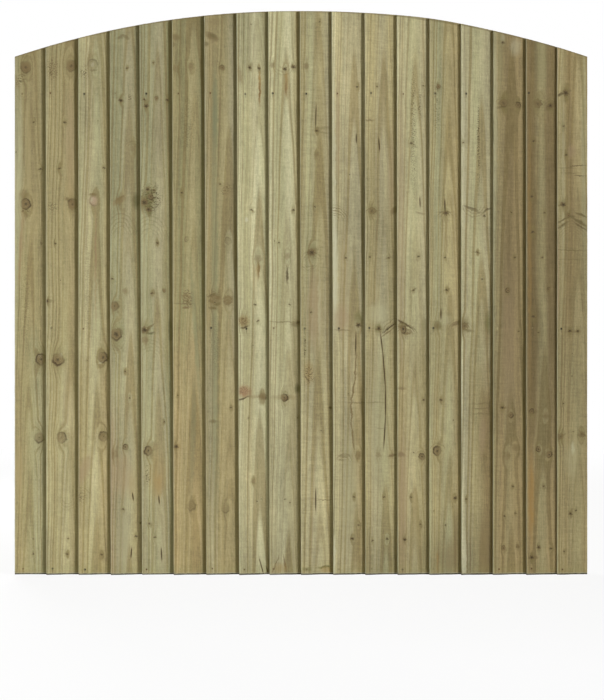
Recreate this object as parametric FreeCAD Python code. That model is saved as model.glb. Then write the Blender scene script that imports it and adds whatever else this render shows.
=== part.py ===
import FreeCAD, Part
import math
import os

# A closeboard fence panel with an arched top, in millimetres.
# X runs along the panel, +Z is up and the boarded face looks towards -Y.
# The origin is at the middle of the foot, halfway through the thickness.

# Whole panel
PANEL_WIDTH = 1830.0
SIDE_HEIGHT = 1654.0
ARCH_RISE = 146.0

# Feather-edge boards: a thick edge on the left, tapering to a thin edge on the right
BOARD_WIDTH = 125.0
LEAST_LAP = 20.0
THICK_EDGE = 11.0
THIN_EDGE = 4.0

# The full boards were set out by eye: how far each thick edge stands right of its even spacing
FOOT_SET_OUT = (0.0, 0.0, 1.0, 2.0, 0.0, -1.0, 1.0, 4.0, -1.0, -2.5, -1.0, -1.0, 0.0, -1.0, 0.0, -1.5, 4.0)
SIDE_SET_OUT = (0.0, -2.5, 0.0, -1.5, -8.0, -6.5, -5.0, -4.0, -5.0, -6.0, -6.0, -3.0, -2.5, 0.0, -1.5, 0.0, 2.5)

# The end board, on the right, is ripped down from a thinner one
END_BOARD_WIDTH = 99.4
END_THICK_EDGE = 8.5

# Frame behind the boards: two stiles with three rails between them
STILE_WIDTH = 38.0
RAIL_HEIGHT = 38.0
FRAME_DEPTH = 32.0
FRAME_ARRIS = 2.0
TOP_RAIL_DROP = 118.0
MIDDLE_RAIL_RAISE = 9.5

# Nails that hold the boards to the frame
FACE_NAIL_LENGTH = 35.0
FACE_NAIL_DIAMETER = 2.7
FACE_HEAD_DIAMETER = 6.2
FACE_HEAD_THICKNESS = 1.2
HEAD_SINK = 0.45
POINT_LENGTH = 4.0
NAIL_SIDES = 8

# Nails that hold the stiles to the ends of the rails, two at each joint
FRAME_NAIL_LENGTH = 75.0
FRAME_NAIL_DIAMETER = 3.8
FRAME_HEAD_DIAMETER = 8.0
FRAME_HEAD_THICKNESS = 1.6
FRAME_NAIL_SPACING = 20.0

# How far each full board's nail stands from its thick edge, as they were driven, from left to right.
# A nail that stands within the lap also passes through the thin edge of the board below.
TOP_ROW_EDGES = (
    (23.0, 14.5, 19.0, 16.5, 20.5, 19.0, 18.0, 27.0, 14.5)
    + (20.0, 17.0, 20.5, 20.5, 18.0, 17.0, 13.5, 9.0)
)
MIDDLE_ROW_EDGES = (
    (24.0, 17.5, 15.0, 18.0, 17.0, 20.0, 18.0, 27.0, 15.0)
    + (13.5, 20.0, 14.0, 19.0, 13.5, 16.0, 14.0, 19.0)
)
BOTTOM_ROW_EDGES = (
    (26.0, 19.5, 20.5, 13.0, 14.0, 19.5, 19.0, 16.5, 13.0)
    + (18.0, 17.0, 19.0, 16.0, 14.0, 18.0, 19.5, 16.0)
)
# The end board has its top nail near its outer edge instead
END_BOTTOM_NAIL_EDGE = 17.0
END_MIDDLE_NAIL_EDGE = 14.0
END_TOP_NAIL_FROM_RIGHT = 20.0
NAIL_WANDER = (0.0, 1.6, -1.2, 0.8, -0.4)

# Arithmetic shared by the pieces
# The full boards are spaced evenly, as wide apart as the least lap allows
FULL_BOARD_COUNT = math.ceil((PANEL_WIDTH - END_BOARD_WIDTH) / (BOARD_WIDTH - LEAST_LAP))
BOARD_PITCH = (PANEL_WIDTH - END_BOARD_WIDTH) / FULL_BOARD_COUNT
ARCH_TOP = SIDE_HEIGHT + ARCH_RISE
LEFT_SIDE = -PANEL_WIDTH / 2.0
RIGHT_SIDE = PANEL_WIDTH / 2.0
BOTTOM_RAIL_CENTRE = RAIL_HEIGHT / 2.0
TOP_RAIL_CENTRE = SIDE_HEIGHT - TOP_RAIL_DROP
MIDDLE_RAIL_CENTRE = (BOTTOM_RAIL_CENTRE + TOP_RAIL_CENTRE) / 2.0 + MIDDLE_RAIL_RAISE
RAIL_CENTRES = {
    "bottom_rail": BOTTOM_RAIL_CENTRE,
    "middle_rail": MIDDLE_RAIL_CENTRE,
    "top_rail": TOP_RAIL_CENTRE,
}


class Board:
    """One board: where its back corners lie, how its face slopes and how it slants along the panel."""

    def __init__(self, left, lift, width, thick, foot_shift=0.0, side_shift=0.0):
        # lift is how far the thick edge's back corner stands off the frame; the thin edge touches it
        self.left = left
        self.lift = lift
        self.width = width
        self.thick = thick
        self.lean = math.asin(lift / width)
        self.foot_shift = foot_shift
        self.side_shift = side_shift

    def shift(self, z):
        """How far the board stands right of its even spacing at this height."""
        return self.foot_shift + (self.side_shift - self.foot_shift) * z / SIDE_HEIGHT

    def edge(self, z):
        """The x of the thick edge's back corner at this height."""
        return self.left + self.shift(z)

    def point(self, along, out):
        """From the thick edge's back corner, along the back and out from it: the x that adds, and the depth."""
        cosine = math.cos(self.lean)
        sine = math.sin(self.lean)
        return along * cosine + out * sine, self.lift - along * sine + out * cosine

    def corners(self):
        return (
            self.point(0.0, 0.0),
            self.point(self.width, 0.0),
            self.point(self.width, THIN_EDGE),
            self.point(0.0, self.thick),
        )

    def face_depth(self, from_edge):
        """How far the face stands off the frame at this distance right of the thick edge."""
        thin_x, thin_depth = self.point(self.width, THIN_EDGE)
        thick_x, thick_depth = self.point(0.0, self.thick)
        share = (from_edge - thick_x) / (thin_x - thick_x)
        return thick_depth + share * (thin_depth - thick_depth)

    def lift_of_next(self, after):
        """How far the next board's thick edge is held off the frame where it first touches this face."""
        spacings = [after.edge(z) - self.edge(z) for z in (0.0, ARCH_TOP)]
        return max(self.face_depth(spacing) for spacing in spacings)


def set_out_boards():
    """The boards by name, from left to right: each thick edge rests on the face of the board before it."""
    boards = {}
    before = None
    for number in range(FULL_BOARD_COUNT + 1):
        name = f"board_{number + 1:02d}"
        left = LEFT_SIDE + number * BOARD_PITCH
        width = BOARD_WIDTH
        thick = THICK_EDGE
        shifts = (FOOT_SET_OUT[number % len(FOOT_SET_OUT)], SIDE_SET_OUT[number % len(SIDE_SET_OUT)])
        if number == FULL_BOARD_COUNT:
            name = "end_board"
            width = END_BOARD_WIDTH
            thick = END_THICK_EDGE
            shifts = (0.0, 0.0)
        lift = 0.0
        if before:
            lift = before.lift_of_next(Board(left, 0.0, width, thick, *shifts))
        if name == "end_board":
            # Its leaning back still ends flush with the side of the panel
            width = math.hypot(END_BOARD_WIDTH, lift)
        boards[name] = Board(left, lift, width, thick, *shifts)
        before = boards[name]
    return boards


BOARDS = set_out_boards()
FRONT_REACH = max(each.point(0.0, each.thick)[1] for each in BOARDS.values())
FRAME_FACE_Y = (FRONT_REACH - FRAME_DEPTH) / 2.0
FRAME_BACK_Y = FRAME_FACE_Y + FRAME_DEPTH


def arch_outline(front_y, depth):
    """The panel's outline as a solid block, square at the foot and arched on top."""
    foot_left = FreeCAD.Vector(LEFT_SIDE, front_y, 0.0)
    foot_right = FreeCAD.Vector(RIGHT_SIDE, front_y, 0.0)
    side_right = FreeCAD.Vector(RIGHT_SIDE, front_y, SIDE_HEIGHT)
    crown = FreeCAD.Vector(0.0, front_y, SIDE_HEIGHT + ARCH_RISE)
    side_left = FreeCAD.Vector(LEFT_SIDE, front_y, SIDE_HEIGHT)
    edges = [
        Part.LineSegment(foot_left, foot_right).toShape(),
        Part.LineSegment(foot_right, side_right).toShape(),
        Part.Arc(side_right, crown, side_left).toShape(),
        Part.LineSegment(side_left, foot_left).toShape(),
    ]
    return Part.Face(Part.Wire(edges)).extrude(FreeCAD.Vector(0.0, depth, 0.0))


ARCH = arch_outline(FRAME_FACE_Y - FRONT_REACH, FRONT_REACH + FRAME_DEPTH)


def prism(points, direction):
    """A straight prism over a closed outline of 3D points."""
    outline = Part.makePolygon([*points, points[0]])
    return Part.Face(outline).extrude(direction)


def board_solid(board):
    """A tapered board, standing on its foot, with its top cut to the arch."""
    foot = board.edge(0.0)
    outline = [FreeCAD.Vector(foot + x, FRAME_FACE_Y - depth, 0.0) for x, depth in board.corners()]
    rise = FreeCAD.Vector(board.edge(ARCH_TOP) - foot, 0.0, ARCH_TOP)
    return prism(outline, rise).common(ARCH)


def eased_outline(across_from, across_to):
    """The section of a frame timber, as pairs of across and y, with its two rear arrises eased."""
    return (
        (across_from, FRAME_FACE_Y),
        (across_to, FRAME_FACE_Y),
        (across_to, FRAME_BACK_Y - FRAME_ARRIS),
        (across_to - FRAME_ARRIS, FRAME_BACK_Y),
        (across_from + FRAME_ARRIS, FRAME_BACK_Y),
        (across_from, FRAME_BACK_Y - FRAME_ARRIS),
    )


def stile(left):
    """A full-height side timber, cut to the arch with the boards."""
    outline = [FreeCAD.Vector(x, y, 0.0) for x, y in eased_outline(left, left + STILE_WIDTH)]
    return prism(outline, FreeCAD.Vector(0.0, 0.0, ARCH_TOP)).common(ARCH)


def rail(centre):
    """A level timber that fits between the stiles."""
    start = LEFT_SIDE + STILE_WIDTH
    length = PANEL_WIDTH - 2.0 * STILE_WIDTH
    heights = eased_outline(centre - RAIL_HEIGHT / 2.0, centre + RAIL_HEIGHT / 2.0)
    outline = [FreeCAD.Vector(start, y, z) for z, y in heights]
    return prism(outline, FreeCAD.Vector(length, 0.0, 0.0))


def nail_ring(diameter, along):
    """A closed ring of NAIL_SIDES points across a nail, at this distance along it."""
    corners = []
    for side in range(NAIL_SIDES + 1):
        angle = 2.0 * math.pi * side / NAIL_SIDES
        corners.append(FreeCAD.Vector(math.cos(angle), math.sin(angle), 0.0) * (diameter / 2.0))
    wire = Part.makePolygon(corners)
    wire.translate(FreeCAD.Vector(0.0, 0.0, along))
    return wire


def nail_prism(diameter, start, end):
    """A straight length of nail."""
    return Part.Face(nail_ring(diameter, start)).extrude(FreeCAD.Vector(0.0, 0.0, end - start))


def nail(length, diameter, head_diameter, head_thickness):
    """A flat-headed nail with a tapered point, from the head's outer face along +Z."""
    shank_end = length - POINT_LENGTH
    flat_head = nail_prism(head_diameter, 0.0, head_thickness)
    shank = nail_prism(diameter, head_thickness, shank_end)
    point = Part.makeLoft([nail_ring(diameter, shank_end), Part.Vertex(0.0, 0.0, length)], True, True)
    return flat_head.fuse([shank, point]).removeSplitter()


def driven(pattern, head, direction):
    """A copy of a solid made along +Z, moved to the head's place and turned the way it is driven."""
    solid = pattern.copy()
    turn = FreeCAD.Rotation(FreeCAD.Vector(0.0, 0.0, 1.0), direction)
    solid.Placement = FreeCAD.Placement(head, turn)
    return solid


def face_nail_edges(row_name):
    """By board name, how far this row's nail stands from the board's thick edge."""
    rows = {
        "bottom_rail": (BOTTOM_ROW_EDGES, END_BOTTOM_NAIL_EDGE),
        "middle_rail": (MIDDLE_ROW_EDGES, END_MIDDLE_NAIL_EDGE),
        "top_rail": (TOP_ROW_EDGES, END_BOARD_WIDTH - END_TOP_NAIL_FROM_RIGHT),
    }
    full_edges, end_edge = rows[row_name]
    edges = {}
    for number, name in enumerate(BOARDS):
        edges[name] = full_edges[number % len(full_edges)]
    edges["end_board"] = end_edge
    return edges


def face_nails():
    """Each row's nails, and by board name the pockets between their heads and the board's face."""
    inwards = FreeCAD.Vector(0.0, 1.0, 0.0)
    face_nail = nail(FACE_NAIL_LENGTH, FACE_NAIL_DIAMETER, FACE_HEAD_DIAMETER, FACE_HEAD_THICKNESS)
    head_pocket = nail_prism(FACE_HEAD_DIAMETER, -FACE_HEAD_DIAMETER, 0.0)
    rows = {}
    pockets = {name: [] for name in BOARDS}
    for row_name, centre in RAIL_CENTRES.items():
        rows[row_name] = []
        for number, (name, edge) in enumerate(face_nail_edges(row_name).items()):
            z = centre + NAIL_WANDER[number % len(NAIL_WANDER)]
            depth = BOARDS[name].face_depth(edge) - HEAD_SINK
            head = FreeCAD.Vector(BOARDS[name].edge(z) + edge, FRAME_FACE_Y - depth, z)
            rows[row_name].append(driven(face_nail, head, inwards))
            pockets[name].append(driven(head_pocket, head, inwards))
    return rows, pockets


def frame_nails(side_x, inwards):
    """Two nails through a stile into the end of each rail, with heads flush on the stile's side."""
    middle_y = (FRAME_FACE_Y + FRAME_BACK_Y) / 2.0
    frame_nail = nail(FRAME_NAIL_LENGTH, FRAME_NAIL_DIAMETER, FRAME_HEAD_DIAMETER, FRAME_HEAD_THICKNESS)
    nails = []
    for centre in RAIL_CENTRES.values():
        for offset in (-FRAME_NAIL_SPACING / 2.0, FRAME_NAIL_SPACING / 2.0):
            head = FreeCAD.Vector(side_x, middle_y, centre + offset)
            nails.append(driven(frame_nail, head, inwards))
    return nails


def drilled(timber, cutters):
    """The timber with a snug hole for every nail or pocket that reaches it."""
    reaching = [cutter for cutter in cutters if cutter.BoundBox.intersect(timber.BoundBox)]
    if not reaching:
        return timber
    return timber.cut(reaching)


def build_parts():
    rows, pockets = face_nails()
    left_frame_nails = frame_nails(LEFT_SIDE, FreeCAD.Vector(1.0, 0.0, 0.0))
    right_frame_nails = frame_nails(RIGHT_SIDE, FreeCAD.Vector(-1.0, 0.0, 0.0))
    row_nails = [one_nail for row in rows.values() for one_nail in row]
    every_nail = row_nails + left_frame_nails + right_frame_nails

    parts = {}
    for name, board in BOARDS.items():
        parts[name] = drilled(board_solid(board), row_nails + pockets[name])
    for name, centre in RAIL_CENTRES.items():
        parts[name] = drilled(rail(centre), every_nail)
    parts["left_stile"] = drilled(stile(LEFT_SIDE), every_nail)
    parts["right_stile"] = drilled(stile(RIGHT_SIDE - STILE_WIDTH), every_nail)
    parts["bottom_row_nails"] = Part.makeCompound(rows["bottom_rail"])
    parts["middle_row_nails"] = Part.makeCompound(rows["middle_rail"])
    parts["top_row_nails"] = Part.makeCompound(rows["top_rail"])
    parts["left_frame_nails"] = Part.makeCompound(left_frame_nails)
    parts["right_frame_nails"] = Part.makeCompound(right_frame_nails)
    return parts


os.makedirs("parts", exist_ok=True)
for part_name, part_shape in build_parts().items():
    part_shape.exportStep(f"parts/{part_name}.step")
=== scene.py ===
import math
import bpy
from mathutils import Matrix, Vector, noise


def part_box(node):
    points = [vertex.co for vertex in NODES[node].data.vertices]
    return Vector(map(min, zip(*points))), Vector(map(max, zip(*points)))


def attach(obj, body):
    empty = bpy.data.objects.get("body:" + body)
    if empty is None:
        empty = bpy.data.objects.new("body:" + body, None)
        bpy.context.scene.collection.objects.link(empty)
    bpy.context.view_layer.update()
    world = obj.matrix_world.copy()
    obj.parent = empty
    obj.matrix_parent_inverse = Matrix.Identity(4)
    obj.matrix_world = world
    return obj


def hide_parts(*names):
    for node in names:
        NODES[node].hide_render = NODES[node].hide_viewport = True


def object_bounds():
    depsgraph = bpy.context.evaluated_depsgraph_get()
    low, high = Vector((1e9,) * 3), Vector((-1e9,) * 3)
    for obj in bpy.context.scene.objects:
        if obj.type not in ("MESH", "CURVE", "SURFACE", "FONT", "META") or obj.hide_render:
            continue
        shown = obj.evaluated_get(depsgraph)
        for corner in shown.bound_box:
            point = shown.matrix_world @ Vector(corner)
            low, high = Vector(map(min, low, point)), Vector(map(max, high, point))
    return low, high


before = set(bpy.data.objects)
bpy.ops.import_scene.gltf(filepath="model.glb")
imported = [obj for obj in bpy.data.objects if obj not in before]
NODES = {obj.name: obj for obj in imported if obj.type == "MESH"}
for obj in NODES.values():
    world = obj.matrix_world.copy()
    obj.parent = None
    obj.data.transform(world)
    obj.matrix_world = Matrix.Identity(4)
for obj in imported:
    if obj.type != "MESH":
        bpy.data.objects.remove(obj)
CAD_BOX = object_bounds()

# A closeboard fence panel of green-treated feather-edge boards, lit and seen as in the photograph.
# Lengths are in millimetres unless a name says otherwise, and MM turns them into scene metres.
MM = 0.001

# Points this close to the level of a face belong to it
FACE_SLACK = 0.5

# Camera: level, square on to the boarded face. The picture is this high at the face, which stands FACE_OUT
# in front of the panel's middle
PHOTO_HEIGHT_MM = 2232.6
CAMERA_DISTANCE = 3750.0
CAMERA_X = 2.4
CAMERA_Z = 718.0
FACE_OUT = 22.0
SENSOR_WIDTH = 36.0

# Key lamp: a small one in front on the right, which throws the narrow shadows beside the laps. Its light is
# evened out over the face, down to this slope, and graded a little by height
KEY_X = 3050.0
KEY_OUT = 2400.0
KEY_Z = 2600.0
KEY_RADIUS = 60.0
KEY_STRENGTH = 0.488
KEY_TINT = (0.97, 1.0, 1.06, 1.0)
KEY_FLATTEST = 0.35
KEY_GRADE = 0.3

# Surround: a warm fill from all sides, and a floor in metres that fades to white between two distances
WHITE = (1.0, 1.0, 1.0, 1.0)
FILL_TINT = (1.0, 0.86, 0.46, 1.0)
FILL_STRENGTH = 0.13
FLOOR_REACH = 60.0
FLOOR_FADE = (1.6, 5.0)
FLOOR_GLOW = 0.88
FLOOR_GREY = (0.8, 0.8, 0.8, 1.0)

# Boards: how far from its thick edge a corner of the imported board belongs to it, and from where on to
# the thin edge, and how far from the thick edge a board's own nails may stand
THICK_SIDE = 20.0
THIN_SIDE = 60.0
NAIL_SIDE = 101.0

# Board mesh: how far apart its points stand up the board and across it, which is less where the nails are,
# which of the front's columns the back has too, and from which height on the rows follow the arch
LEAST_STEP = 0.2
ROW_STEP = 6.0
FINE_ROW_STEP = 1.8
NAIL_ZONE = 7.0
COLUMN_STEP = 5.0
FINE_COLUMN_STEP = 2.0
FINE_BAND = (8.0, 34.0)
BACK_EVERY = 3
TOP_ZONE = 1600.0

# How far sawing, drying and wear take a board from its true shape
ARRIS_RADIUS = 0.9
FOOT_UNEVEN = 1.2
HEAD_RAGGED = 0.5
EDGE_WANDER = 0.35
BOW = 0.5
RELIEF = 0.22
SHARP_ANGLE = 35.0

# The arch is sawn by hand: the cut leans, and rises a little between the crown and the sides
HEAD_LEAN = 0.29
HEAD_MIDDLE = -11.0
HEAD_RISE = 2.0
HEAD_HUMP = 3.5
HEAD_LIFT = 2.3
HEAD_HUMP_AT = 420.0
HEAD_HUMP_REACH = 150.0

# Face nails: how far round a head the wood is pressed in, how deep, and how wide the dent's slope is
NAIL_DENT = 4.0
NAIL_DENT_DEPTH = 0.45
NAIL_DENT_SLOPE = 2.0


def wobble(x, y, z):
    """Smooth noise from -1 to 1 that is the same on every run."""
    return noise.noise(Vector((x, y, z)))


def loose_parts(obj):
    """The points of each separate solid in a mesh, as lists of vectors."""
    mesh = obj.data
    owner = list(range(len(mesh.vertices)))

    def root(index):
        while owner[index] != index:
            owner[index] = owner[owner[index]]
            index = owner[index]
        return index

    by_place = {}
    for vertex in mesh.vertices:
        place = tuple(round(c, 6) for c in vertex.co)
        if place in by_place:
            owner[root(vertex.index)] = root(by_place[place])
        by_place[place] = vertex.index
    for edge in mesh.edges:
        a, b = edge.vertices
        owner[root(a)] = root(b)
    parts = {}
    for vertex in mesh.vertices:
        parts.setdefault(root(vertex.index), []).append(vertex.co.copy())
    return list(parts.values())


class BoardShape:
    """A board's section and slant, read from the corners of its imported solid, in millimetres."""

    def __init__(self, name):
        points = [vertex.co / MM for vertex in NODES[name].data.vertices]
        foot = [p for p in points if p.z < FACE_SLACK]
        self.back_thick = min(foot, key=lambda p: p.x)
        left = [p for p in foot if p.x < self.back_thick.x + THICK_SIDE]
        right = [p for p in foot if p.x > self.back_thick.x + THIN_SIDE]
        front_thick = min(left, key=lambda p: p.y)
        back_thin = max(right, key=lambda p: p.y)
        front_thin = min(right, key=lambda p: p.y)
        along = back_thin - self.back_thick
        self.width = along.length
        self.along = along.normalized()
        self.out = Vector((-self.along.y, self.along.x, 0.0)) * -1.0
        self.thick = (front_thick - self.back_thick).length
        self.thin = (front_thin - back_thin).length
        head = min((p for p in points if p.z > TOP_ZONE), key=lambda p: p.x)
        self.slant = (head.x - self.back_thick.x) / head.z

    def place(self, across, out, z):
        """The point this far from the thick edge, this far out from the board's back, at this height."""
        point = self.back_thick + self.along * across + self.out * out
        return Vector((point.x + self.slant * z, point.y, z))

    def thickness(self, across):
        return self.thick + (self.thin - self.thick) * across / self.width


# The arch through both sides and the crown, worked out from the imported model's box
HALF_WIDTH = CAD_BOX[1][0] / MM
CROWN = CAD_BOX[1][2] / MM
SIDE = max(v.co.z for v in NODES["left_stile"].data.vertices if v.co.x < CAD_BOX[0][0] + MM) / MM
ARCH_RADIUS = (HALF_WIDTH ** 2 + (CROWN - SIDE) ** 2) / (2.0 * (CROWN - SIDE))


def arch_height(x):
    """The height of the arch over this x."""
    return CROWN - ARCH_RADIUS + math.sqrt(ARCH_RADIUS ** 2 - x * x)


def sawn_arch(x):
    """The height of the hand-sawn cut over this x."""
    near = max(-HALF_WIDTH, min(HALF_WIDTH, x))
    rise = HEAD_RISE * math.sin(math.pi * abs(near) / HALF_WIDTH)
    hump = HEAD_HUMP * math.exp(-(((near - HEAD_HUMP_AT) / HEAD_HUMP_REACH) ** 2))
    return arch_height(near) + HEAD_LIFT + rise + hump


def spaced(start, end, step):
    """Even values from start to end, no further apart than step."""
    count = max(1, math.ceil((end - start) / step))
    return [start + (end - start) * i / count for i in range(count + 1)]


def merged(*runs):
    """Runs of values joined into one rising list, with near repeats dropped."""
    values = []
    for value in sorted(v for run in runs for v in run):
        if not values or value - values[-1] > LEAST_STEP:
            values.append(value)
    return values


def nail_places():
    """Each face nail's head, as x, y and z of its middle, by row node name."""
    rows = {}
    for row in ("bottom_row_nails", "middle_row_nails", "top_row_nails"):
        heads = []
        for part in loose_parts(NODES[row]):
            front = min(p.y for p in part)
            ring = [p for p in part if p.y < front + FACE_SLACK * MM]
            middle = sum(ring, Vector()) / len(ring)
            heads.append(Vector((middle.x, front, middle.z)) / MM)
        rows[row] = sorted(heads, key=lambda p: p.x)
    return rows


NAIL_ROWS = nail_places()
FACE_NAILS = [head for row in NAIL_ROWS.values() for head in row]


def board_columns(shape):
    """How far from the thick edge each column of points stands."""
    arris = [0.0, 0.25 * ARRIS_RADIUS, ARRIS_RADIUS]
    inner = shape.width - ARRIS_RADIUS
    far_arris = [inner, shape.width - 0.25 * ARRIS_RADIUS, shape.width]
    return merged(
        arris,
        spaced(ARRIS_RADIUS, FINE_BAND[0], COLUMN_STEP),
        spaced(*FINE_BAND, FINE_COLUMN_STEP),
        spaced(FINE_BAND[1], inner, COLUMN_STEP),
        far_arris,
    )


def arris_drop(across, width, depth):
    """How far a face falls back at this distance across, where its arris is rounded."""
    radius = min(ARRIS_RADIUS, depth * 0.45)
    near = min(across, width - across)
    if near >= radius:
        return 0.0
    return radius - math.sqrt(max(0.0, radius ** 2 - (radius - near) ** 2))


def own_nails(shape):
    """The three face nails of one board, from the top row down."""
    own = [n for n in FACE_NAILS if 0.0 < n.x - shape.place(0, 0, n.z).x < NAIL_SIDE]
    return sorted(own, key=lambda n: -n.z)


def new_mesh(name, vertices, faces):
    mesh = bpy.data.meshes.new(name)
    mesh.from_pydata(vertices, [], faces)
    mesh.update()
    return mesh


def board_mesh(name, seed):
    """A board as it is sawn, weathered and cut along the arch, with its shape and its mesh."""
    shape = BoardShape(name)
    columns = board_columns(shape)
    nails = own_nails(shape)
    rows = merged(
        spaced(0.0, TOP_ZONE, ROW_STEP),
        *(spaced(n.z - NAIL_ZONE, n.z + NAIL_ZONE, FINE_ROW_STEP) for n in nails),
    )
    crown = max(arch_height(shape.place(a, 0, SIDE).x) for a in (0.0, shape.width))
    head_rows = spaced(0.0, 1.0, ROW_STEP / (crown - TOP_ZONE))[1:]
    vertices = []

    def height_at(row, across, out):
        if row < len(rows):
            z = rows[row]
            foot = FOOT_UNEVEN + FOOT_UNEVEN * wobble(across / 45.0, seed * 7.3, 0.0)
            return z + foot * max(0.0, 1.0 - z / 60.0)
        share = head_rows[row - len(rows)]
        at = shape.place(across, out, SIDE)
        top = sawn_arch(at.x) + HEAD_LEAN * (at.y - HEAD_MIDDLE)
        ragged = HEAD_RAGGED * wobble(across / 6.0, seed * 3.1, 5.0) - 0.3
        return TOP_ZONE + share * (top + ragged - TOP_ZONE)

    def surface(across, front, z):
        thickness = shape.thickness(across)
        drop = arris_drop(across, shape.width, thickness)
        side = 0.5 - across / shape.width
        edge = EDGE_WANDER * wobble(z / 28.0, seed * 5.7, side) * abs(2.0 * side) ** 6
        bow = BOW * wobble(z / 420.0, seed * 1.9, 9.0)
        relief = RELIEF * wobble(across / 22.0, z / 160.0, seed * 2.3)
        if not front:
            return shape.place(across + edge + bow, drop, z)
        out = thickness - drop + relief
        for nail in nails:
            from_nail = math.hypot(across - (nail.x - shape.place(0, 0, nail.z).x), z - nail.z)
            if from_nail < NAIL_DENT:
                out -= NAIL_DENT_DEPTH * min(1.0, (NAIL_DENT - from_nail) / NAIL_DENT_SLOPE)
        return shape.place(across + edge + bow, out, z)

    row_count = len(rows) + len(head_rows)
    last = len(columns) - 1
    back_columns = sorted({0, 1, 2, last - 2, last - 1, last} | set(range(2, last, BACK_EVERY)))
    front_index = {}
    back_index = {}
    for row in range(row_count):
        for column, across in enumerate(columns):
            z = height_at(row, across, shape.thickness(across))
            front_index[row, column] = len(vertices)
            vertices.append(surface(across, True, z) * MM)
        for column in back_columns:
            z = height_at(row, columns[column], 0.0)
            back_index[row, column] = len(vertices)
            vertices.append(surface(columns[column], False, z) * MM)

    faces = []
    for row in range(row_count - 1):
        for column in range(last):
            faces.append((
                front_index[row, column], front_index[row, column + 1],
                front_index[row + 1, column + 1], front_index[row + 1, column],
            ))
        for a, b in zip(back_columns, back_columns[1:]):
            faces.append((
                back_index[row, b], back_index[row, a],
                back_index[row + 1, a], back_index[row + 1, b],
            ))
        faces.append((
            back_index[row, 0], front_index[row, 0],
            front_index[row + 1, 0], back_index[row + 1, 0],
        ))
        faces.append((
            front_index[row, last], back_index[row, last],
            back_index[row + 1, last], front_index[row + 1, last],
        ))
    for a, b in zip(back_columns, back_columns[1:]):
        foot = [back_index[0, a], back_index[0, b]]
        foot += [front_index[0, c] for c in range(b, a - 1, -1)]
        faces.append(tuple(foot))
        top = row_count - 1
        head = [back_index[top, b], back_index[top, a]]
        head += [front_index[top, c] for c in range(a, b + 1)]
        faces.append(tuple(head))
    return shape, new_mesh(name + "_sawn", vertices, faces)


def add_piece(name, mesh, materials, node):
    """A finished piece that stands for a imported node."""
    piece = bpy.data.objects.new(name, mesh)
    bpy.context.scene.collection.objects.link(piece)
    for material in materials:
        mesh.materials.append(material)
    for polygon in mesh.polygons:
        polygon.use_smooth = True
    mesh.set_sharp_from_angle(angle=math.radians(SHARP_ANGLE))
    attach(piece, "root")
    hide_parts(node)
    return piece


# Colours of green-treated softwood as a sawn face shows them
COLOURS = {
    "khaki": "#A0956C",
    "pale_khaki": "#ACA37C",
    "green_sap": "#A39E78",
    "pale_sap": "#B6B18C",
    # white sap, also used for the painted highlights beside some knots
    "white_sap": "#C4C0A0",
    "grey_green": "#94916E",
    "olive": "#88825C",
    "grey_tan": "#A09876",
    "tan": "#A09269",
    "warm_tan": "#A39066",
    "brown": "#887752",
    "dark_brown": "#7A6946",
    "pink_brown": "#9E8868",
    "red_heart": "#957253",
    "orange_heart": "#9B7B45",
    "blue_stain": "#737A5C",
    "smudge": "#6F6240",
    "flecks": "#4B3D24",
    "dark_olive": "#4E4A26",
    "moss": "#6B6A3C",
    "split": "#3E2A10",
    "pink_knot": "#C2A88E",
    "rust": "#5E3F22",
    "iron_stain": "#3A352A",
    "knot_brown": "#7D6745",
    "knot_ring": "#4C3D26",
    "knot_dark": "#302818",
    "knot_halo": "#766B40",
    "latewood": "#7F6F47",
    # painted shade in the shadow beside each lap and on the thick edges
    "painted_lap_shade": "#6A6130",
    "foot_tint": "#989257",
    "foot_dust": "#A7A389",
    # painted shadow: a near-black line along the foot, where the boards meet the floor
    "painted_foot_shadow": "#2B2619",
    # a painted highlight along the rounded arris of each thick edge
    "arris_pale": "#C6C1A2",
}

# How strongly each kind of knot bends the grain (swirl), swells the rings round it (swell) and shows
# brown wood, a dark heart, a bark ring and a stained halo; tall is its height over its width, heart the
# dark heart's share of its radius, and spikes how far its outline runs out in points
KNOT_PLAIN = dict(
    swirl=0.9, swell=0.4, brown=0.45, dark=0.4, ring=0.5, halo=0.4,
    tall=1.1, heart=0.4, spikes=0.05, points=5,
)
KNOT_KINDS = {
    "brown": dict(KNOT_PLAIN, brown=0.7, dark=0.45, halo=0.55, tall=1.15),
    "pale": dict(KNOT_PLAIN, swirl=0.5, swell=0.15, brown=0.12, dark=0.05, ring=0.45, halo=0.3),
    "ringed": dict(KNOT_PLAIN, brown=0.55, dark=0.6, ring=0.95, halo=0.55),
    "eye": dict(KNOT_PLAIN, brown=0.35, dark=0.3, ring=0.75, heart=0.3),
    "big": dict(KNOT_PLAIN, swell=0.6, brown=0.65, dark=0.7, ring=0.8, halo=0.7, heart=0.6),
    "star": dict(
        KNOT_PLAIN, brown=0.6, dark=0.8, ring=0.45, halo=0.7,
        tall=0.9, heart=0.9, spikes=0.2, points=7,
    ),
    "dark": dict(KNOT_PLAIN, brown=0.7, dark=0.85, ring=0.3, halo=0.6, tall=0.85, heart=1.05, spikes=0.15),
    "small": dict(KNOT_PLAIN, dark=0.7, ring=0.0, halo=0.5, tall=0.7, heart=1.05, spikes=0.15),
    "pin": dict(
        KNOT_PLAIN, swirl=0.4, swell=0.2, brown=0.2, dark=0.75,
        ring=0.0, halo=0.2, tall=0.8, heart=1.0,
    ),
    "swirl": dict(
        KNOT_PLAIN, brown=0.5, dark=0.35, ring=0.45, halo=0.65,
        tall=0.9, heart=0.7, spikes=0.14, points=7,
    ),
    "faint": dict(KNOT_PLAIN, swirl=0.6, swell=0.3, brown=0.35, dark=0.1, ring=0.1, halo=0.3, spikes=0.1),
}

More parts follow.
